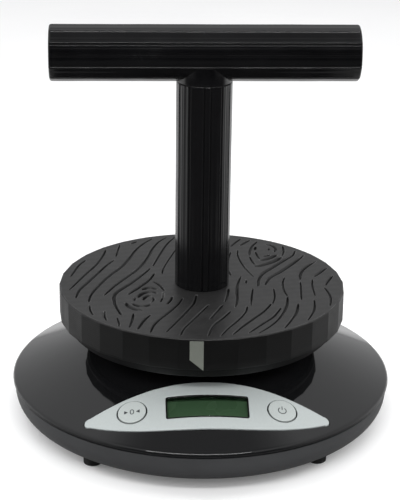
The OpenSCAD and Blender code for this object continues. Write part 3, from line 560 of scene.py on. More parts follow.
# ---------------------------------------------------------------- perch disc with carved grain
# Grooves in the top face: width and depth number, then the (x, y) plan points of the path.
GRAIN = [
    (.50, (-60, 32), (-63.5, 24), (-65.5, 15), (-67, 9)),
    (.52, (-49.5, 47), (-51, 38), (-54, 26), (-59, 13), (-63, 2), (-67, -9)),
    (.62, (-45, 32), (-49, 24), (-54, 11), (-59, -2), (-62, -10), (-63.5, -20)),
    (.34, (-42, 55), (-43, 46), (-44, 37)),
    (.62, (-33, 60), (-35.8, 56.5)),
    (.66, (-24.5, 64), (-29, 57), (-33, 48), (-37, 34), (-41, 22), (-47, 10), (-52, -3),
     (-56, -16), (-57, -25)),
    (.62, (-16.5, 66), (-21, 59), (-24.5, 48), (-27, 36), (-32, 20), (-39, 6), (-45, -6),
     (-49.5, -17)),
    (.50, (-12, 66.5), (-16, 57), (-20, 42), (-24.5, 23)),
    (.62, (-26, 20), (-30, 11), (-36, -1), (-42, -11), (-44.5, -18), (-44, -29), (-41, -42)),
    (.34, (-12, 47), (-15, 36), (-19, 20), (-20, 12)),
    (.50, (-3.5, 68), (-7.5, 59), (-10.5, 51)),
    (.56, (5, 68), (0, 56), (-4, 44), (-8, 31), (-12, 18)),
    (.52, (12, 67), (7.5, 56), (3.5, 44), (-0.5, 31), (-2.5, 19)),
    (.42, (13, 52), (10, 42), (7, 30), (5.4, 18)),
    (.40, (17.4, 43), (15.4, 32), (14.2, 21), (15.4, 9)),
    (.58, (-24, 12.5), (-26.5, 4), (-31, -5), (-37.5, -16)),
    (.52, (-25, 1.5), (-22, -3), (-19.5, -11)),
    (.86, (-30.5, -9.8), (-28, -7.6), (-25.5, -7.4), (-23.5, -9.4)),
    (.78, (-32.5, -20), (-31, -16), (-28, -13.2), (-25, -12.8), (-23.8, -14.8)),
    (.62, (-30, -23.5), (-29, -19.5), (-26.5, -17)),
    (.40, (-25.4, -19.6), (-25, -23), (-26.2, -26.4)),
    (.40, (-34.3, -19.8), (-34.4, -24)),
    (.80, (-35.6, -27.6), (-32.8, -30.8), (-29, -31), (-26.8, -29)),
    (.86, (-38.8, -26.4), (-37.2, -31.6), (-34.2, -35.2), (-30.8, -36)),
    (.32, (-20, -14), (-20.4, -20), (-21.5, -26)),
    (.34, (-49, -37), (-49, -43), (-48, -49)),
    (.32, (-56.6, -29), (-56, -36), (-54.6, -42)),
    (.30, (-43, -45), (-42, -52), (-42, -56)),
    (.42, (-35, -40), (-35.6, -48), (-37, -57)),
    (.56, (-26.8, -42), (-30, -49), (-33, -59.5)),
    (.42, (-15.5, -19), (-16.4, -24), (-18.2, -28.5)),
    (.54, (-10.5, -21), (-13, -29), (-18, -39.5), (-23, -49), (-25.6, -56), (-27, -63)),
    (.54, (-3.5, -17), (-5, -27), (-9, -38), (-14, -50), (-19.5, -62.5)),
    (.52, (2, -30), (-2, -39), (-7, -50), (-11, -59), (-13, -67)),
    (.50, (9, -30), (6, -38), (2, -47.5)),
    (.56, (12.5, -38), (8.5, -46), (4.5, -53), (2, -60), (.2, -68)),
    (.40, (13, -9), (12, -18), (10.4, -26)),
    (.46, (20.5, 8), (18, -4), (17, -14), (16.6, -23), (15.2, -33)),
    (.44, (21, -32), (19.5, -40), (15, -50), (10, -59), (6, -68)),
    (.60, (33, -29), (29, -38), (23, -47.5), (17, -57), (12, -66)),
    (.54, (37.5, -34), (33, -45), (26, -55), (19.5, -64.5)),
    (.50, (42, -20), (40.4, -32), (35.6, -47), (30, -57), (24, -65)),
    (.48, (46.5, -29), (44.5, -40), (41, -50), (37, -59)),
    (.38, (55, -24), (53.5, -37), (49, -50)),
    (.32, (25.5, -9), (24, -20), (23, -31)),
    (.32, (36, -9), (35.6, -20), (33.8, -29)),
    (.40, (43, 6), (41.4, -1), (41, -11), (42, -19)),
    (.34, (50.6, 0), (49.6, -12), (48.6, -24)),
    (.34, (57, 3), (56, -7), (56, -19)),
    (.42, (62, -8), (63, -14), (63.5, -22), (62, -32)),
    (.46, (68, 8), (65.4, 1.6), (63, -5)),
    (.58, (66, 19), (62, 12.4), (58.5, 7)),
    (.58, (61.5, 29), (58, 24), (53.6, 16.5), (51.3, 8.5), (50.8, 3)),
    (.34, (23, 3), (22.6, -2)),
    (.54, (24, 63.5), (21, 58), (18, 51.5)),
    (.62, (29, 61.2), (26, 57.4), (23.4, 53)),
    (.30, (21.6, 47), (21, 37), (23, 22), (27, 7)),
    (.52, (33, 59.2), (30, 53), (28, 45.5), (27.2, 38)),
    (.36, (27.2, 36), (27.8, 30), (29, 24.5)),
    (.90, (29, 22.2), (31.4, 22.3), (35.5, 25.3), (40.5, 30), (43.8, 35.5)),
    (.42, (44.5, 37), (46, 44.5), (46.2, 52)),
    (.56, (31.4, 51), (30.6, 46)),
    (.40, (30.8, 43.5), (31.4, 37), (32.2, 33)),
    (.86, (32.4, 31), (34.4, 31.2), (38.2, 34.3), (41.6, 38.8)),
    (.62, (34.6, 36.6), (36.4, 37.2), (38, 38.8)),
    (.56, (37.6, 54.2), (40.4, 52.6), (42, 48), (41, 43)),
    (.40, (38.4, 49), (38.2, 45.6)),
    (.62, (52, 44.5), (50, 37.5), (44, 28.8), (38, 20), (32.4, 11.6), (29.4, 3), (28.4, -6)),
    (.66, (56, 38.5), (53, 32), (47, 22), (41, 13), (35.4, 5.4), (32.2, -4)),
]
GRAIN_DEPTH = 1.15
GRAIN_WIDTH = 1.42            # half width of a groove for width number 1

DISC_RINGS, BORE_RING = 236, 9    # ring k of the top face has 8 k points
BORE_R = 3.02
DISC_ROUND = 0.75                 # radius of the top edge
DISC_CHAMFER = 0.5                # height and width of the eased lower edge
DISC_TOP_R = DISC_R - DISC_ROUND
COUNTERBORE_R, COUNTERBORE_DEPTH = 7.62, 6
DISC_FLAT = 2 * math.pi / 32      # the rim has 32 flats
FLATS_FROM_R = 60                 # rings wider than this follow the flats


def spline(points, steps=6):
    """Catmull-Rom curve through the points."""
    p = np.array(points, float)
    out = [p[0]]
    for i in range(len(p) - 1):
        a, b, c, d = p[max(i - 1, 0)], p[i], p[i + 1], p[min(i + 2, len(p) - 1)]
        for k in range(1, steps + 1):
            t = k / steps
            out.append(0.5 * (2 * b + (c - a) * t + (2 * a - 5 * b + 4 * c - d) * t * t
                              + (3 * b - a - 3 * c + d) * t ** 3))
    return np.array(out)


def grain_depth(x, y):
    """Depth of the carved grooves at plan points, 0 to 1."""
    depth = np.zeros_like(x)
    for size, *points in GRAIN:
        path = spline(points)
        lengths = np.linalg.norm(np.diff(path, axis=0), axis=1)
        share = np.concatenate([[0], np.cumsum(lengths)]) / lengths.sum()
        lo, hi = path.min(0) - 2, path.max(0) + 2
        near = np.where((x > lo[0]) & (x < hi[0]) & (y > lo[1]) & (y < hi[1]))[0]
        if not len(near):
            continue
        px, py = x[near][:, None], y[near][:, None]
        a = path[:-1]
        d = path[1:] - a
        t = ((px - a[:, 0]) * d[:, 0] + (py - a[:, 1]) * d[:, 1]) / (d ** 2).sum(1)
        t = np.clip(t, 0, 1)
        distance = np.hypot(px - (a[:, 0] + t * d[:, 0]), py - (a[:, 1] + t * d[:, 1]))
        k = distance.argmin(1)
        row = np.arange(len(near))
        along = share[k] + t[row, k] * (share[k + 1] - share[k])
        # grooves taper to 0.3 of their width at both ends
        taper = 0.3 + 0.7 * np.sin(np.pi * np.clip(along, 0, 1)) ** 0.4
        width = size * GRAIN_WIDTH * taper
        q = np.clip((distance[row, k] / width - 0.35) / 0.85, 0, 1)
        groove = (1 - q * q * (3 - 2 * q)) * (0.55 + 0.45 * min(1, size / 0.6))
        depth[near] = np.maximum(depth[near], groove)
    return depth


def disc_top():
    """Flat top face as rings. Returns points, faces and the first index of each ring."""
    verts, faces, start = [], [], {}
    for k in range(BORE_RING, DISC_RINGS + 1):
        r = BORE_R + (DISC_TOP_R - BORE_R) * (k - BORE_RING) / (DISC_RINGS - BORE_RING)
        i = np.arange(8 * k)
        quarter, offset = i // (2 * k), i % (2 * k)
        a = (quarter + offset / (2 * k)) * (math.pi / 2) - math.pi / 4
        start[k] = len(verts)
        verts.extend(zip(r * np.cos(a), r * np.sin(a), np.full(8 * k, DISC_Z1)))
    for k in range(BORE_RING, DISC_RINGS):
        for quarter in range(4):
            def inner(j):
                return start[k] + (quarter * 2 * k + j) % (8 * k)

            def outer(j):
                return start[k + 1] + (quarter * 2 * (k + 1) + j) % (8 * (k + 1))

            for j in range(2 * k):
                faces.append((inner(j), outer(j), outer(j + 1), inner(j + 1)))
            # the corner cell takes up the two extra points of the outer ring
            j = 2 * k
            faces.append((inner(j), outer(j), outer(j + 1), outer(j + 2)))
    return verts, faces, start


def carve(verts):
    """Sinks the grooves, and a slight unevenness outside the post, into the top face."""
    v = np.array(verts)
    x, y = v[:, 0], v[:, 1]
    r = np.hypot(x, y)
    waves = np.sin(x * 0.9 + y * 0.35) + np.sin(y * 1.1 - x * 0.22 + 1.3)
    sink = 0.03 - 0.015 * waves
    uneven = np.where(r > POST_R + 1, sink, 0) * (r < DISC_TOP_R - 0.5)
    v[:, 2] -= GRAIN_DEPTH * grain_depth(x, y) + uneven
    return [tuple(p) for p in v]


def disc_side_profile():
    """(r, z) from the top edge down the side, along the underside and up the counterbore."""
    round_z = DISC_Z1 - DISC_ROUND
    profile = [(DISC_TOP_R + DISC_ROUND * math.sin(rad(t)),
                round_z + DISC_ROUND * math.cos(rad(t))) for t in range(15, 91, 15)]
    side = DISC_Z1 - DISC_Z0 - DISC_ROUND - DISC_CHAMFER
    profile += [(DISC_R, round_z - side * t) for t in (0.25, 0.5, 0.75, 1)]
    ceiling = DISC_Z0 + COUNTERBORE_DEPTH
    return profile + [
        (DISC_R - 0.15, DISC_Z0 + 0.15), (DISC_R - DISC_CHAMFER, DISC_Z0), (40, DISC_Z0),
        (8.0, DISC_Z0), (COUNTERBORE_R, DISC_Z0 + 0.3), (COUNTERBORE_R, ceiling),
        (BORE_R, ceiling)]


def join_bore(verts, outer_start, outer_angles, inner_start):
    """Faces of the bore, between the fine ring at its foot and the coarse one at its top."""
    full = 2 * math.pi
    outer_count, inner_count = len(outer_angles), 8 * BORE_RING
    inner_angles = [math.atan2(verts[inner_start + i][1], verts[inner_start + i][0]) % full
                    for i in range(inner_count)]
    inner = [inner_start + i for i in sorted(range(inner_count), key=lambda i: inner_angles[i])]
    outer = [outer_start + i
             for i in sorted(range(outer_count), key=lambda i: outer_angles[i] % full)]
    ratio = outer_count / inner_count
    faces = []
    for i in range(inner_count):
        here, following = inner[i], inner[(i + 1) % inner_count]
        first, last = int(round(i * ratio)), int(round((i + 1) * ratio))
        middle = (first + last) // 2
        for j in range(first, last):
            faces.append((outer[j % outer_count], outer[(j + 1) % outer_count],
                          here if j < middle else following))
        faces.append((here, outer[middle % outer_count], following))
    return faces


def build_disc():
    verts, faces, start = disc_top()
    verts = carve(verts)
    ring = start[DISC_RINGS]
    count = 8 * DISC_RINGS
    angles = [math.atan2(verts[ring + i][1], verts[ring + i][0]) for i in range(count)]
    half = DISC_FLAT / 2
    flats = [math.cos(half) / math.cos((a + math.pi / 4) % DISC_FLAT - half) for a in angles]
    for r, z in disc_side_profile():
        following = len(verts)
        scales = flats if r > FLATS_FROM_R else [1.0] * count
        verts.extend((r * k * math.cos(a), r * k * math.sin(a), z)
                     for a, k in zip(angles, scales))
        faces += ring_faces(ring, following, count)
        ring = following
    faces += join_bore(verts, ring, angles, start[BORE_RING])
    to_object("perch_disc", verts, faces, LOOKS["perch_disc"], sharp=50, body="perch",
              slot="perch_disc", replaces="perch_base")


# ---------------------------------------------------------------- fluted post and crossbar
# angles of the grooves round the bar and the post, in degrees
BAR_GROOVES = [-49, -17, 30, 61, 92, 124, 158, 191, 222, 252, 281]
POST_GROOVES = [-64, -33, -2, 12, 37, 62, 90, 118, 149, 181, 214, 242, 268]
GROOVE_HALF = 2.4             # half the width of a groove, degrees
FACET = 3.4                   # step between outline points, degrees
WOBBLE = 0.02                 # slow unevenness along the flutes
BAR_EDGE = 1.3                # radius of the bar's rounded ends
NECK_R = POST_R - 0.15        # plain neck of the post, set into a socket in the bar
NECK_IN = 2.0
POST_TOP = BAR_Z - POST_R     # where the flutes end
SOCKET_Z = BAR_Z - 4.6        # top of the socket
NECK_TOP = SOCKET_Z - 0.02
CORE_R = 4.2                  # hole above the socket
SHARP_FLUTES = 42             # crease angle of the fluted pieces


def scatter(i):
    """A fixed pseudo-random number from 0 to 1."""
    s = math.sin(rad(i * 127.1 + 31.7)) * 43.7585
    return s - math.floor(s)


def section(grooves, flatness, jitter, depth):
    """(angle, radius) outline: a notch at each groove and a flattened land between notches.
    flatness: 0 for a round land, 1 for a flat one; jitter: random inward shift."""
    points = []
    for i, groove in enumerate(grooves):
        following = grooves[i + 1] if i + 1 < len(grooves) else grooves[0] + 360
        points.append((groove, POST_R - depth))
        middle, half = (groove + following) / 2, (following - groove) / 2 - GROOVE_HALF
        count = max(2, round(half * 2 / FACET))
        for j in range(count + 1):
            a = middle - half + 2 * half * j / count
            flat = flatness * math.cos(rad(half)) / math.cos(rad(a - middle))
            shift = jitter * scatter(j * 3.1 + i * 5) if 0 < j < count else 0
            points.append((a, POST_R * (flat + (1 - flatness)) - shift))
    return points


def rounded(points, ease=0.3):
    """Closed 2D outline with each corner eased."""
    p = np.array(points, float)
    out = []
    for i in range(len(p)):
        before, corner, after = p[i - 1], p[i], p[(i + 1) % len(p)]
        length_in = np.linalg.norm(before - corner)
        length_out = np.linalg.norm(after - corner)
        d = min(ease, 0.42 * length_in, 0.42 * length_out)
        u = corner + (before - corner) / length_in * d
        w = corner + (after - corner) / length_out * d
        out += [u, 0.25 * u + 0.5 * corner + 0.25 * w, w]
    return np.array(out)


def fluted(outline, stations, seed):
    """Stacks the outline along an axis. stations: (position, scale).
    Returns points as (u, v, position) and the faces, the end caps last."""
    verts, faces, count = [], [], len(outline)
    angle = np.arctan2(outline[:, 1], outline[:, 0])
    for w, scale in stations:
        r = np.hypot(outline[:, 0], outline[:, 1])
        waves = (np.sin(w * 0.11 + 2.0 * angle + seed)
                 + 0.6 * np.sin(w * 0.27 - 3.0 * angle + seed * 2))
        r = (r + WOBBLE * waves - WOBBLE * 1.6) * scale
        twist = 0.0022 * math.sin(w * 0.06 + seed)
        verts.extend(zip(r * np.cos(angle + twist), r * np.sin(angle + twist),
                         np.full(count, w)))
    for i in range(len(stations) - 1):
        faces += ring_faces(i * count, (i + 1) * count, count)
    faces.append(tuple(range(count))[::-1])
    faces.append(tuple(range((len(stations) - 1) * count, len(stations) * count)))
    return verts, faces


def end_scale(d):
    """Radius share at distance d from a rounded end of the bar."""
    if d >= BAR_EDGE:
        return 1.0
    return 1 - (BAR_EDGE - math.sqrt(max(0, BAR_EDGE ** 2 - (BAR_EDGE - d) ** 2))) / POST_R


def build_bar():
    outline = rounded([(-r * math.cos(rad(a)), r * math.sin(rad(a)))
                       for a, r in section(BAR_GROOVES, flatness=0.55, jitter=0.16, depth=0.7)])
    half = BAR_L / 2
    ends = [0, 0.08, 0.25, 0.5, 0.85, BAR_EDGE]
    xs = ([-half + d for d in ends] + list(np.linspace(-half + 4, half - 4, 70))
          + [half - d for d in ends[::-1]])
    verts, faces = fluted(outline, [(x, end_scale(half - abs(x))) for x in xs], seed=0.7)
    verts = [(w, u, BAR_Z + v) for u, v, w in verts]
    ob = to_object("perch_crossbar", verts, faces, LOOKS["perch_body"])
    core_top = BAR_Z + 9.2
    cut_lathed(ob, [
        (NECK_R, POST_TOP - 1), (NECK_R, POST_TOP + 0.6), (NECK_R - 0.95, SOCKET_Z),
        (CORE_R, SOCKET_Z), (CORE_R, core_top), (0, core_top), (0, POST_TOP - 1)], 128)
    mark_sharp(ob, SHARP_FLUTES)
    register(ob, "perch", "perch_bar")


def build_post():
    outline = rounded([(r * math.sin(rad(a)), -r * math.cos(rad(a)))
                       for a, r in section(POST_GROOVES, flatness=0.35, jitter=0.22,
                                           depth=0.75)], ease=0.25)
    z0, z1 = DISC_Z1, POST_TOP
    stations = [(z0, 0.985), (z0 + 0.15, 0.994), (z0 + 0.4, 1.0)]
    stations += [(z, 1.0) for z in np.linspace(z0 + 2, z1 - 1.5, 60)]
    stations += [(z1 - 0.5, 1.0), (z1 - 0.2, 0.994), (z1, 0.985)]
    verts, faces = fluted(outline, stations, seed=2.1)
    faces.pop()     # the neck grows from the open top
    angle = np.arctan2(outline[:, 1], outline[:, 0])
    count = len(outline)
    ring = (len(stations) - 1) * count
    neck = [(NECK_R - 0.3, z1 + 0.02), (NECK_R - 0.02, z1 + 0.25), (NECK_R - 0.02, z1 + 0.6),
            (NECK_R - 0.5, z1 + 5.2), (NECK_R - 0.97, NECK_TOP)]
    for r, z in neck:
        following = len(verts)
        verts.extend((r * math.cos(a), r * math.sin(a), z) for a in angle)
        faces += ring_faces(ring, following, count)
        ring = following
    faces.append(tuple(range(ring, ring + count)))
    ob = to_object("perch_shaft", verts, faces, LOOKS["perch_body"])
    # the through bore, the core clearance from NECK_IN below the bar's axis, two foot holes
    drill(ob, 3.0, z0 - 1, BAR_Z + 1, count=48)
    drill(ob, CORE_R, BAR_Z - NECK_IN, BAR_Z + 1, count=48)
    for x in (-8, 8):
        drill(ob, 1.5, z0 - 1, z0 + 8, count=32, centre=(x, 0))
    mark_sharp(ob, SHARP_FLUTES)
    register(ob, "perch", "perch_post")


build_disc()
build_bar()
build_post()


# ---------------------------------------------------------------- plates that follow the cone
# rounded edge, from its foot to its top: share of the radius inwards, share below the top
EDGE_ROUND = ((0, 1), (0.08, 0.62), (0.29, 0.29), (0.62, 0.08), (1, 0))


def cone_point(x, y, offset):
    """Point over (x, y) at the given offset square to the cone."""
    return (x, y, shell_z(math.hypot(x, y)) + offset / COS)


def circle(cx, cy, radius, count):
    return [(cx + radius * math.cos(2 * math.pi * i / count),
             cy + radius * math.sin(2 * math.pi * i / count)) for i in range(count)]


def arc(cx, cy, radius, degrees):
    return [(cx + radius * math.cos(rad(a)), cy + radius * math.sin(rad(a))) for a in degrees]


def round_rect(half_x, y0, y1, radius, steps=5):
    points = []
    for cx, cy, first in ((half_x - radius, y1 - radius, 0), (-half_x + radius, y1 - radius, 90),
                          (-half_x + radius, y0 + radius, 180),
                          (half_x - radius, y0 + radius, 270)):
        points += arc(cx, cy, radius, [first + 90 * i / steps for i in range(steps + 1)])
    return points


def subdivide(loop, step):
    out = []
    for i, p in enumerate(loop):
        q = loop[(i + 1) % len(loop)]
        count = max(1, int(math.dist(p, q) / step))
        out += [(p[0] + (q[0] - p[0]) * j / count, p[1] + (q[1] - p[1]) * j / count)
                for j in range(count)]
    return out


def counter_clockwise(loop):
    area = sum(loop[i - 1][0] * loop[i][1] - loop[i][0] * loop[i - 1][1]
               for i in range(len(loop)))
    return loop[::-1] if area < 0 else loop


def inset(loop, distance):
    """Moves a counter-clockwise loop inwards."""
    p = np.array(loop, float)
    t = np.roll(p, -1, 0) - np.roll(p, 1, 0)
    t /= np.linalg.norm(t, axis=1)[:, None]
    return [tuple(q) for q in p + np.stack([-t[:, 1], t[:, 0]], 1) * distance]


def inside(loop, points):
    x, y = points[:, 0], points[:, 1]
    result = np.zeros(len(points), bool)
    for i in range(len(loop)):
        (x0, y0), (x1, y1) = loop[i - 1], loop[i]
        if y0 != y1:
            result ^= ((y0 > y) != (y1 > y)) & (x < (x1 - x0) * (y - y0) / (y1 - y0) + x0)
    return result


def within(outer, holes, points):
    """True for points inside outer and outside the holes."""
    result = inside(outer, points)
    for hole in holes:
        result &= ~inside(hole, points)
    return result


def fill(outer, holes, step):
    """Points and triangles that fill outer round the holes, with points every step or so."""
    border, edges = [], []
    for loop in [outer] + holes:
        first = len(border)
        border += [tuple(p) for p in loop]
        edges += [(first + i, first + (i + 1) % len(loop)) for i in range(len(loop))]
    lo, hi = np.array(outer).min(0), np.array(outer).max(0)
    gx, gy = np.meshgrid(np.arange(lo[0] + step / 2, hi[0], step),
                         np.arange(lo[1] + step / 2, hi[1], step))
    # the rows are shifted a little, so that grid points don't line up
    grid = np.stack([gx.ravel() + 0.13 * step * np.sin(gy.ravel() * 7), gy.ravel()], 1)
    grid = grid[within(outer, holes, grid)]
    border_array = np.array(border)
    if len(grid):
        gap = np.array([np.min(np.hypot(*(border_array - q).T)) for q in grid])
        grid = grid[gap > 0.45 * step]
    vectors = [Vector(p) for p in border] + [Vector(p) for p in grid]
    points, _, cells, _, _, _ = delaunay_2d_cdt(vectors, edges, [], 0, 1e-6)
    points = np.array([tuple(p) for p in points])
    triangles = np.array([cell for cell in cells if len(cell) == 3])
    return points, triangles[within(outer, holes, points[triangles].mean(1))]


def add_solid(verts, faces, outer, holes, rings, step, place, caps):
    """Adds a closed plate. rings: (inset, offset) of the wall from bottom to top;
    place: turns x, y and an offset into a point; caps: the rings to fill, in order."""
    outer = counter_clockwise(outer)
    holes = [counter_clockwise(hole) for hole in holes]
    for loop, side in [(outer, 1)] + [(hole, -1) for hole in holes]:
        first, count = len(verts), len(loop)
        for inward, offset in rings:
            verts += [place(x, y, offset) for x, y in inset(loop, inward * side)]
        for k in range(len(rings) - 1):
            faces += ring_faces(first + k * count, first + (k + 1) * count, count,
                                flip=side < 0)
    for cap in caps:
        inward, offset = rings[cap]
        points, triangles = fill(inset(outer, inward), [inset(h, -inward) for h in holes], step)
        first = len(verts)
        verts += [place(x, y, offset) for x, y in points]
        faces += [tuple(first + i for i in triangle) for triangle in triangles]


def plate(name, outer, holes, lo, hi, bevel, step, slot, replaces):
    """A plate between two offsets of the cone, with rounded upper edges."""
    verts, faces = [], []
    rings = [(0, lo)] + [(inward * bevel, hi - down * bevel) for inward, down in EDGE_ROUND]
    add_solid(verts, faces, outer, holes, rings, step, cone_point, caps=(-1, 0))
    to_object(name, verts, faces, LOOKS[slot], weighted=True, body="base", slot=slot,
              replaces=replaces)


# ---------------------------------------------------------------- control panel
PANEL_Y = -70.0               # origin of the panel's own tilted frame
PROUD = 0.3                   # the panel's face above the cone
PANEL_BACK = -0.93
# edges of the panel: y = -(start + factor |x| ** power)
INNER_EDGE = (56.5, 6.5e-4, 2.42)
OUTER_EDGE = (82.7, -0.405e-4, 3.08)
PANEL_HALF_X = 56.0           # where the rounded ends begin

LCD_HALF_X, LCD_Y0, LCD_Y1 = 19.9, -76.3, -63.5

KEY_R, KEY_X, KEY_Y = 6.7, 36.0, -0.7     # in the panel's frame
KEY_GAP = 0.65
KEY_TOP = PROUD + 0.35
KEY_ROUND = 0.35
KEY_DISH = 0.10
# (radius, height) of the key's stem below the crown, with a flange at its foot
KEY_STEM = ((KEY_R, -5.0), (KEY_R, -7.8), (8.1, -7.8), (8.1, -8.6), (1.6, -8.6), (1.6, -8.7))

# The keys and their holes are round in this frame
PANEL_FRAME = (Matrix.Translation((0, PANEL_Y, shell_z(-PANEL_Y)))
               @ Matrix.Rotation(rad(SLOPE), 4, "X"))


def panel_edge(edge, x):
    start, factor, power = edge
    return -(start + factor * abs(x) ** power)


def panel_outline(count=84):
    half = PANEL_HALF_X
    inner, outer = panel_edge(INNER_EDGE, half), panel_edge(OUTER_EDGE, half)
    middle, radius = (inner + outer) / 2, (inner - outer) / 2
    points = [(x, panel_edge(INNER_EDGE, x)) for x in np.linspace(-half, half, count)]
    points += arc(half, middle, radius, range(70, -71, -20))
    points += [(x, panel_edge(OUTER_EDGE, x)) for x in np.linspace(half, -half, count)]
    points += arc(-half, middle, radius, range(250, 109, -20))
    return points


def surface_point(x, y, offset):
    """Point at x, y of the panel's frame on the surface that lies offset above the cone."""
    z = offset
    for _ in range(12):
        p = PANEL_FRAME @ Vector((x, y, z))
        z += (shell_z(math.hypot(p.x, p.y)) + offset / COS - p.z) * COS
    return tuple(PANEL_FRAME @ Vector((x, y, z)))


def key_hole(side):
    """Plan outline of the hole round a key."""
    return [surface_point(x, y, PROUD)[:2]
            for x, y in circle(side * KEY_X, KEY_Y, KEY_R + KEY_GAP, 72)]


def display_outline(margin, radius):
    """The display window's outline, smaller by margin on every side."""
    return subdivide(round_rect(LCD_HALF_X - margin, LCD_Y0 + margin, LCD_Y1 - margin, radius),
                     step=2.0)


def build_panel():
    plate("panel_face", panel_outline(),
          [display_outline(margin=0, radius=1.1)] + [key_hole(side) for side in (-1, 1)],
          lo=PANEL_BACK, hi=PROUD, bevel=0.22, step=2.2, slot="silver_face",
          replaces="face_panel")
    plate("display_bezel", display_outline(margin=0.05, radius=1.08),
          [display_outline(margin=0.75, radius=0.8)],
          lo=PANEL_BACK, hi=PROUD - 0.05, bevel=0.14, step=3, slot="bezel_black",
          replaces="lcd_bezel")
    plate("display_cover", display_outline(margin=0.8, radius=0.78), [],
          lo=-0.9, hi=PROUD - 0.15, bevel=0.12, step=2.5, slot="display_lens",
          replaces="lcd_window")


# ---------------------------------------------------------------- keys and their marks
def crown_offset(share):
    """Offset of the dished crown at a share of the key's radius."""
    return KEY_TOP - KEY_DISH * (1 - share ** 2)


def build_key(name, side, body, replaces, count=96, crown_rings=9):
    cx, cy = side * KEY_X, KEY_Y
    crown = [(KEY_R * k / crown_rings, crown_offset(k / crown_rings))
             for k in range(1, crown_rings)]
    crown += [(KEY_R - inward * KEY_ROUND, KEY_TOP - down * KEY_ROUND)
              for inward, down in reversed(EDGE_ROUND)]
    verts = [surface_point(cx, cy, crown_offset(0))]
    for radius, offset in crown:
        verts += [surface_point(x, y, offset) for x, y in circle(cx, cy, radius, count)]
    for radius, z in KEY_STEM:
        verts += [tuple(PANEL_FRAME @ Vector((x, y, z)))
                  for x, y in circle(cx, cy, radius, count)]
    starts = [1 + k * count for k in range(len(crown) + len(KEY_STEM))]
    faces = [(0, 1 + i, 1 + (i + 1) % count) for i in range(count)]
    for a, b in zip(starts, starts[1:]):
        faces += ring_faces(a, b, count, flip=True)
    faces.append(tuple(starts[-1] + i for i in range(count)))
    to_object(name, verts, faces, LOOKS["key_silver"], sharp=50, weighted=True, body=body,
              slot="key_silver", replaces=replaces)


def print_mark(name, side, shapes, body):
    """Thin printed mark on a key. shapes: (outline, holes) about the key's centre."""
    cx, cy = side * KEY_X, KEY_Y

    def on_crown(x, y, offset):
        share = min(1, math.hypot(x - cx, y - cy) / KEY_R)
        return surface_point(x, y, crown_offset(share) + offset)

    def shifted(loop):
        return [(cx + x, cy + y) for x, y in loop]

    verts, faces = [], []
    for outer, holes in shapes:
        add_solid(verts, faces, shifted(outer), [shifted(hole) for hole in holes],
                  rings=[(0, -0.02), (0, 0.03)], step=1.0, place=on_crown, caps=(0, -1))
    to_object(name, verts, faces, LOOKS["key_print"], smooth=False, body=body,
              slot="switch_black")


def stroke(x0, y0, x1, y1, half_width, steps=6):
    """Line with round ends from (x0, y0) to (x1, y1)."""
    a = math.atan2(y1 - y0, x1 - x0)
    points = []
    for x, y, first in ((x1, y1, a - math.pi / 2), (x0, y0, a + math.pi / 2)):
        points += [(x + half_width * math.cos(first + math.pi * i / steps),
                    y + half_width * math.sin(first + math.pi * i / steps))
                   for i in range(steps + 1)]
    return points


def open_ring(radius, half_width, a0, a1, steps=40):
    """Band of a circle from a0 to a1 degrees."""
    turn = (a1 - a0) / steps
    return (arc(0, 0, radius + half_width, [a0 + turn * i for i in range(steps + 1)])
            + arc(0, 0, radius - half_width, [a1 - turn * i for i in range(steps + 1)]))


def oval(half_x, half_y):
    return [(half_x * math.cos(rad(a)), half_y * math.sin(rad(a))) for a in range(0, 360, 10)]


build_panel()
build_key("tare_key_cap", -1, "tare_key", "tare_button")
build_key("power_key_cap", 1, "power_key", "power_button")
# power symbol: an open ring with a stroke
print_mark("power_mark", 1, [
    (open_ring(radius=1.9, half_width=0.22, a0=125, a1=415), []),
    (stroke(0, 0.6, 0, 2.5, half_width=0.22), [])], "power_key")
# zero symbol: an oval between two arrowheads
print_mark("zero_mark", -1, [
    (oval(1.05, 1.6), [oval(0.62, 1.16)]),
    ([(-3.7, 1.05), (-1.9, 0), (-3.7, -1.05)], []),
    ([(3.7, 1.05), (3.7, -1.05), (1.9, 0)], [])], "tare_key")


# ---------------------------------------------------------------- stage (metres)
def build_floor(half=4):
    """White paper for the camera, dimmer for other rays, clear from below."""
    mat, net = new_material("floor_paper")
    coords = net.coords()
    blotch = net.span(net.noise(coords, scale=6, detail=2), over=MIDDLE)
    paper = net.new("ShaderNodeBsdfPrincipled", {
        "Base Color": net.mix(blotch, (0.90, 0.90, 0.905), (0.93, 0.93, 0.93)),
        "Roughness": 0.8, "Emission Color": (1, 1, 1), "Emission Strength": 0.13})
    # mirrored rays see a floor that darkens towards the front
    ray = net.new("ShaderNodeLightPath").outputs
    grey = net.span(net.xyz(coords)["Y"], to=(0.05, 0.75), over=(-0.20, 0.30))
    mirrored = net.new("ShaderNodeCombineColor", {0: grey, 1: grey, 2: grey}).outputs[0]
    colour = net.mix(ray["Is Glossy Ray"], (0.55, 0.55, 0.55), mirrored)
    dim = net.new("ShaderNodeBsdfDiffuse", {"Color": colour})
    upper = net.mix_shader(ray["Is Camera Ray"], dim.outputs[0], paper.outputs[0])
    clear = net.new("ShaderNodeBsdfTransparent").outputs[0]
    back = net.new("ShaderNodeNewGeometry").outputs["Backfacing"]
    surface = net.mix_shader(back, upper, clear)
    net.new("ShaderNodeOutputMaterial", {"Surface": surface})

    mesh = bpy.data.meshes.new("floor")
    corners = [(-half, -half, 0), (half, -half, 0), (half, half, 0), (-half, half, 0)]
    mesh.from_pydata(corners, [], [(0, 1, 2, 3)])
    mesh.materials.append(mat)
    floor = bpy.data.objects.new("floor", mesh)
    bpy.context.scene.collection.objects.link(floor)


# brightness of the studio: everywhere, and added overhead, behind and at the sides
STUDIO = {"front": 0.012, "over": 0.68, "back": 0.50, "side": 0.55}


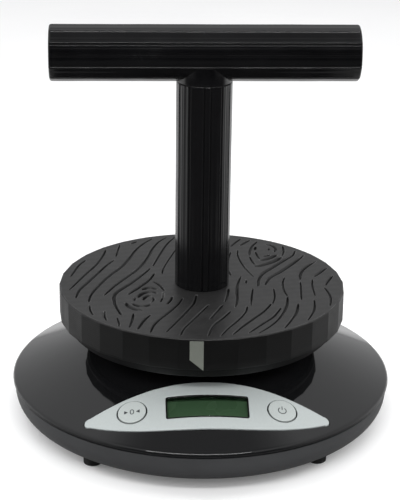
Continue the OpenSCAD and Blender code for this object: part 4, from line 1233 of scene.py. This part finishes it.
def build_world():
    """Bright overhead, behind and at the sides, dim in front; white to the camera."""
    world = bpy.data.worlds.new("studio")
    bpy.context.scene.world = world
    world.use_nodes = True
    net = NodeNet(world.node_tree)

    def smooth(value, low, high):
        return net.span(value, over=(low, high), kind="SMOOTHSTEP")

    def times(a, b):
        return net.math("MULTIPLY", a, b)

    way = net.xyz(net.new("ShaderNodeTexCoord").outputs["Generated"])
    over = smooth(way["Z"], low=0.2, high=0.95)
    back = smooth(way["Y"], low=-0.1, high=0.9)
    side = smooth(net.math("ABSOLUTE", way["X"], 0), low=0.6, high=0.97)
    below = net.math("SUBTRACT", 1.0, over)
    # the zenith is dimmed by 0.70
    zenith = times(smooth(way["Z"], low=0.84, high=0.95), 0.70)
    over = times(over, net.math("SUBTRACT", 1.0, zenith))
    strength = net.math("ADD", STUDIO["front"], times(over, STUDIO["over"]))
    strength = net.math("ADD", strength, times(times(back, STUDIO["back"]), below))
    strength = net.math("ADD", strength, times(times(side, STUDIO["side"]), below))
    studio = net.new("ShaderNodeBackground", {"Color": (0.985, 0.99, 1.0), "Strength": strength})
    white = net.new("ShaderNodeBackground", {"Color": (1, 1, 1)})
    camera_ray = net.new("ShaderNodeLightPath").outputs["Is Camera Ray"]
    surface = net.mix_shader(camera_ray, studio.outputs[0], white.outputs[0])
    net.new("ShaderNodeOutputWorld", {"Surface": surface})


def aim(ob, location, target):
    """Places ob and returns the rotation that points its -Z at the target."""
    ob.location = location
    return (Vector(target) - Vector(location)).to_track_quat("-Z", "Y")


def area_light(name, location, target, size, power, mirrored=False):
    light = bpy.data.lights.new(name, "AREA")
    light.shape = "RECTANGLE"
    light.size, light.size_y = size
    light.energy = power
    ob = bpy.data.objects.new(name, light)
    ob.rotation_euler = aim(ob, location, target).to_euler()
    ob.visible_glossy = mirrored
    bpy.context.scene.collection.objects.link(ob)


def build_lights():
    area_light("top_box", location=(0.0, 0.15, 1.9), target=(0, 0, 0.08), size=(1.8, 1.5),
               power=12.5)
    area_light("front_soft", location=(-0.05, -1.0, 0.9), target=(0, 0, 0.05), size=(0.8, 0.6),
               power=7.8)
    area_light("key", location=(-0.05, -0.82, 0.92), target=(0, 0, 0.08), size=(1.1, 0.045),
               power=4.2, mirrored=True)
    area_light("left_soft", location=(-1.2, 0.1, 0.5), target=(0, 0, 0.10), size=(0.22, 0.9),
               power=6)
    area_light("right_soft", location=(1.2, 0.15, 0.5), target=(0, 0, 0.10), size=(0.25, 0.9),
               power=6.5)


def build_camera(roll=0.0135):
    data = bpy.data.cameras.new("photo_camera")
    camera = bpy.data.objects.new("photo_camera", data)
    bpy.context.scene.collection.objects.link(camera)
    bpy.context.scene.camera = camera
    data.sensor_width = 36.0
    data.lens = 113.472
    data.shift_x, data.shift_y = -0.00416, 0.01854
    data.clip_start, data.clip_end = 0.01, 20
    turn = aim(camera, location=(-0.0373, -0.7457, 0.3718), target=(0, 0, 0.0845))
    turned = turn.to_matrix().to_4x4() @ Matrix.Rotation(roll, 4, "Z")
    camera.rotation_euler = turned.to_euler()


build_floor()
build_world()
build_lights()
build_camera()

view = bpy.context.scene.view_settings
view.view_transform = "Standard"
view.look = "None"
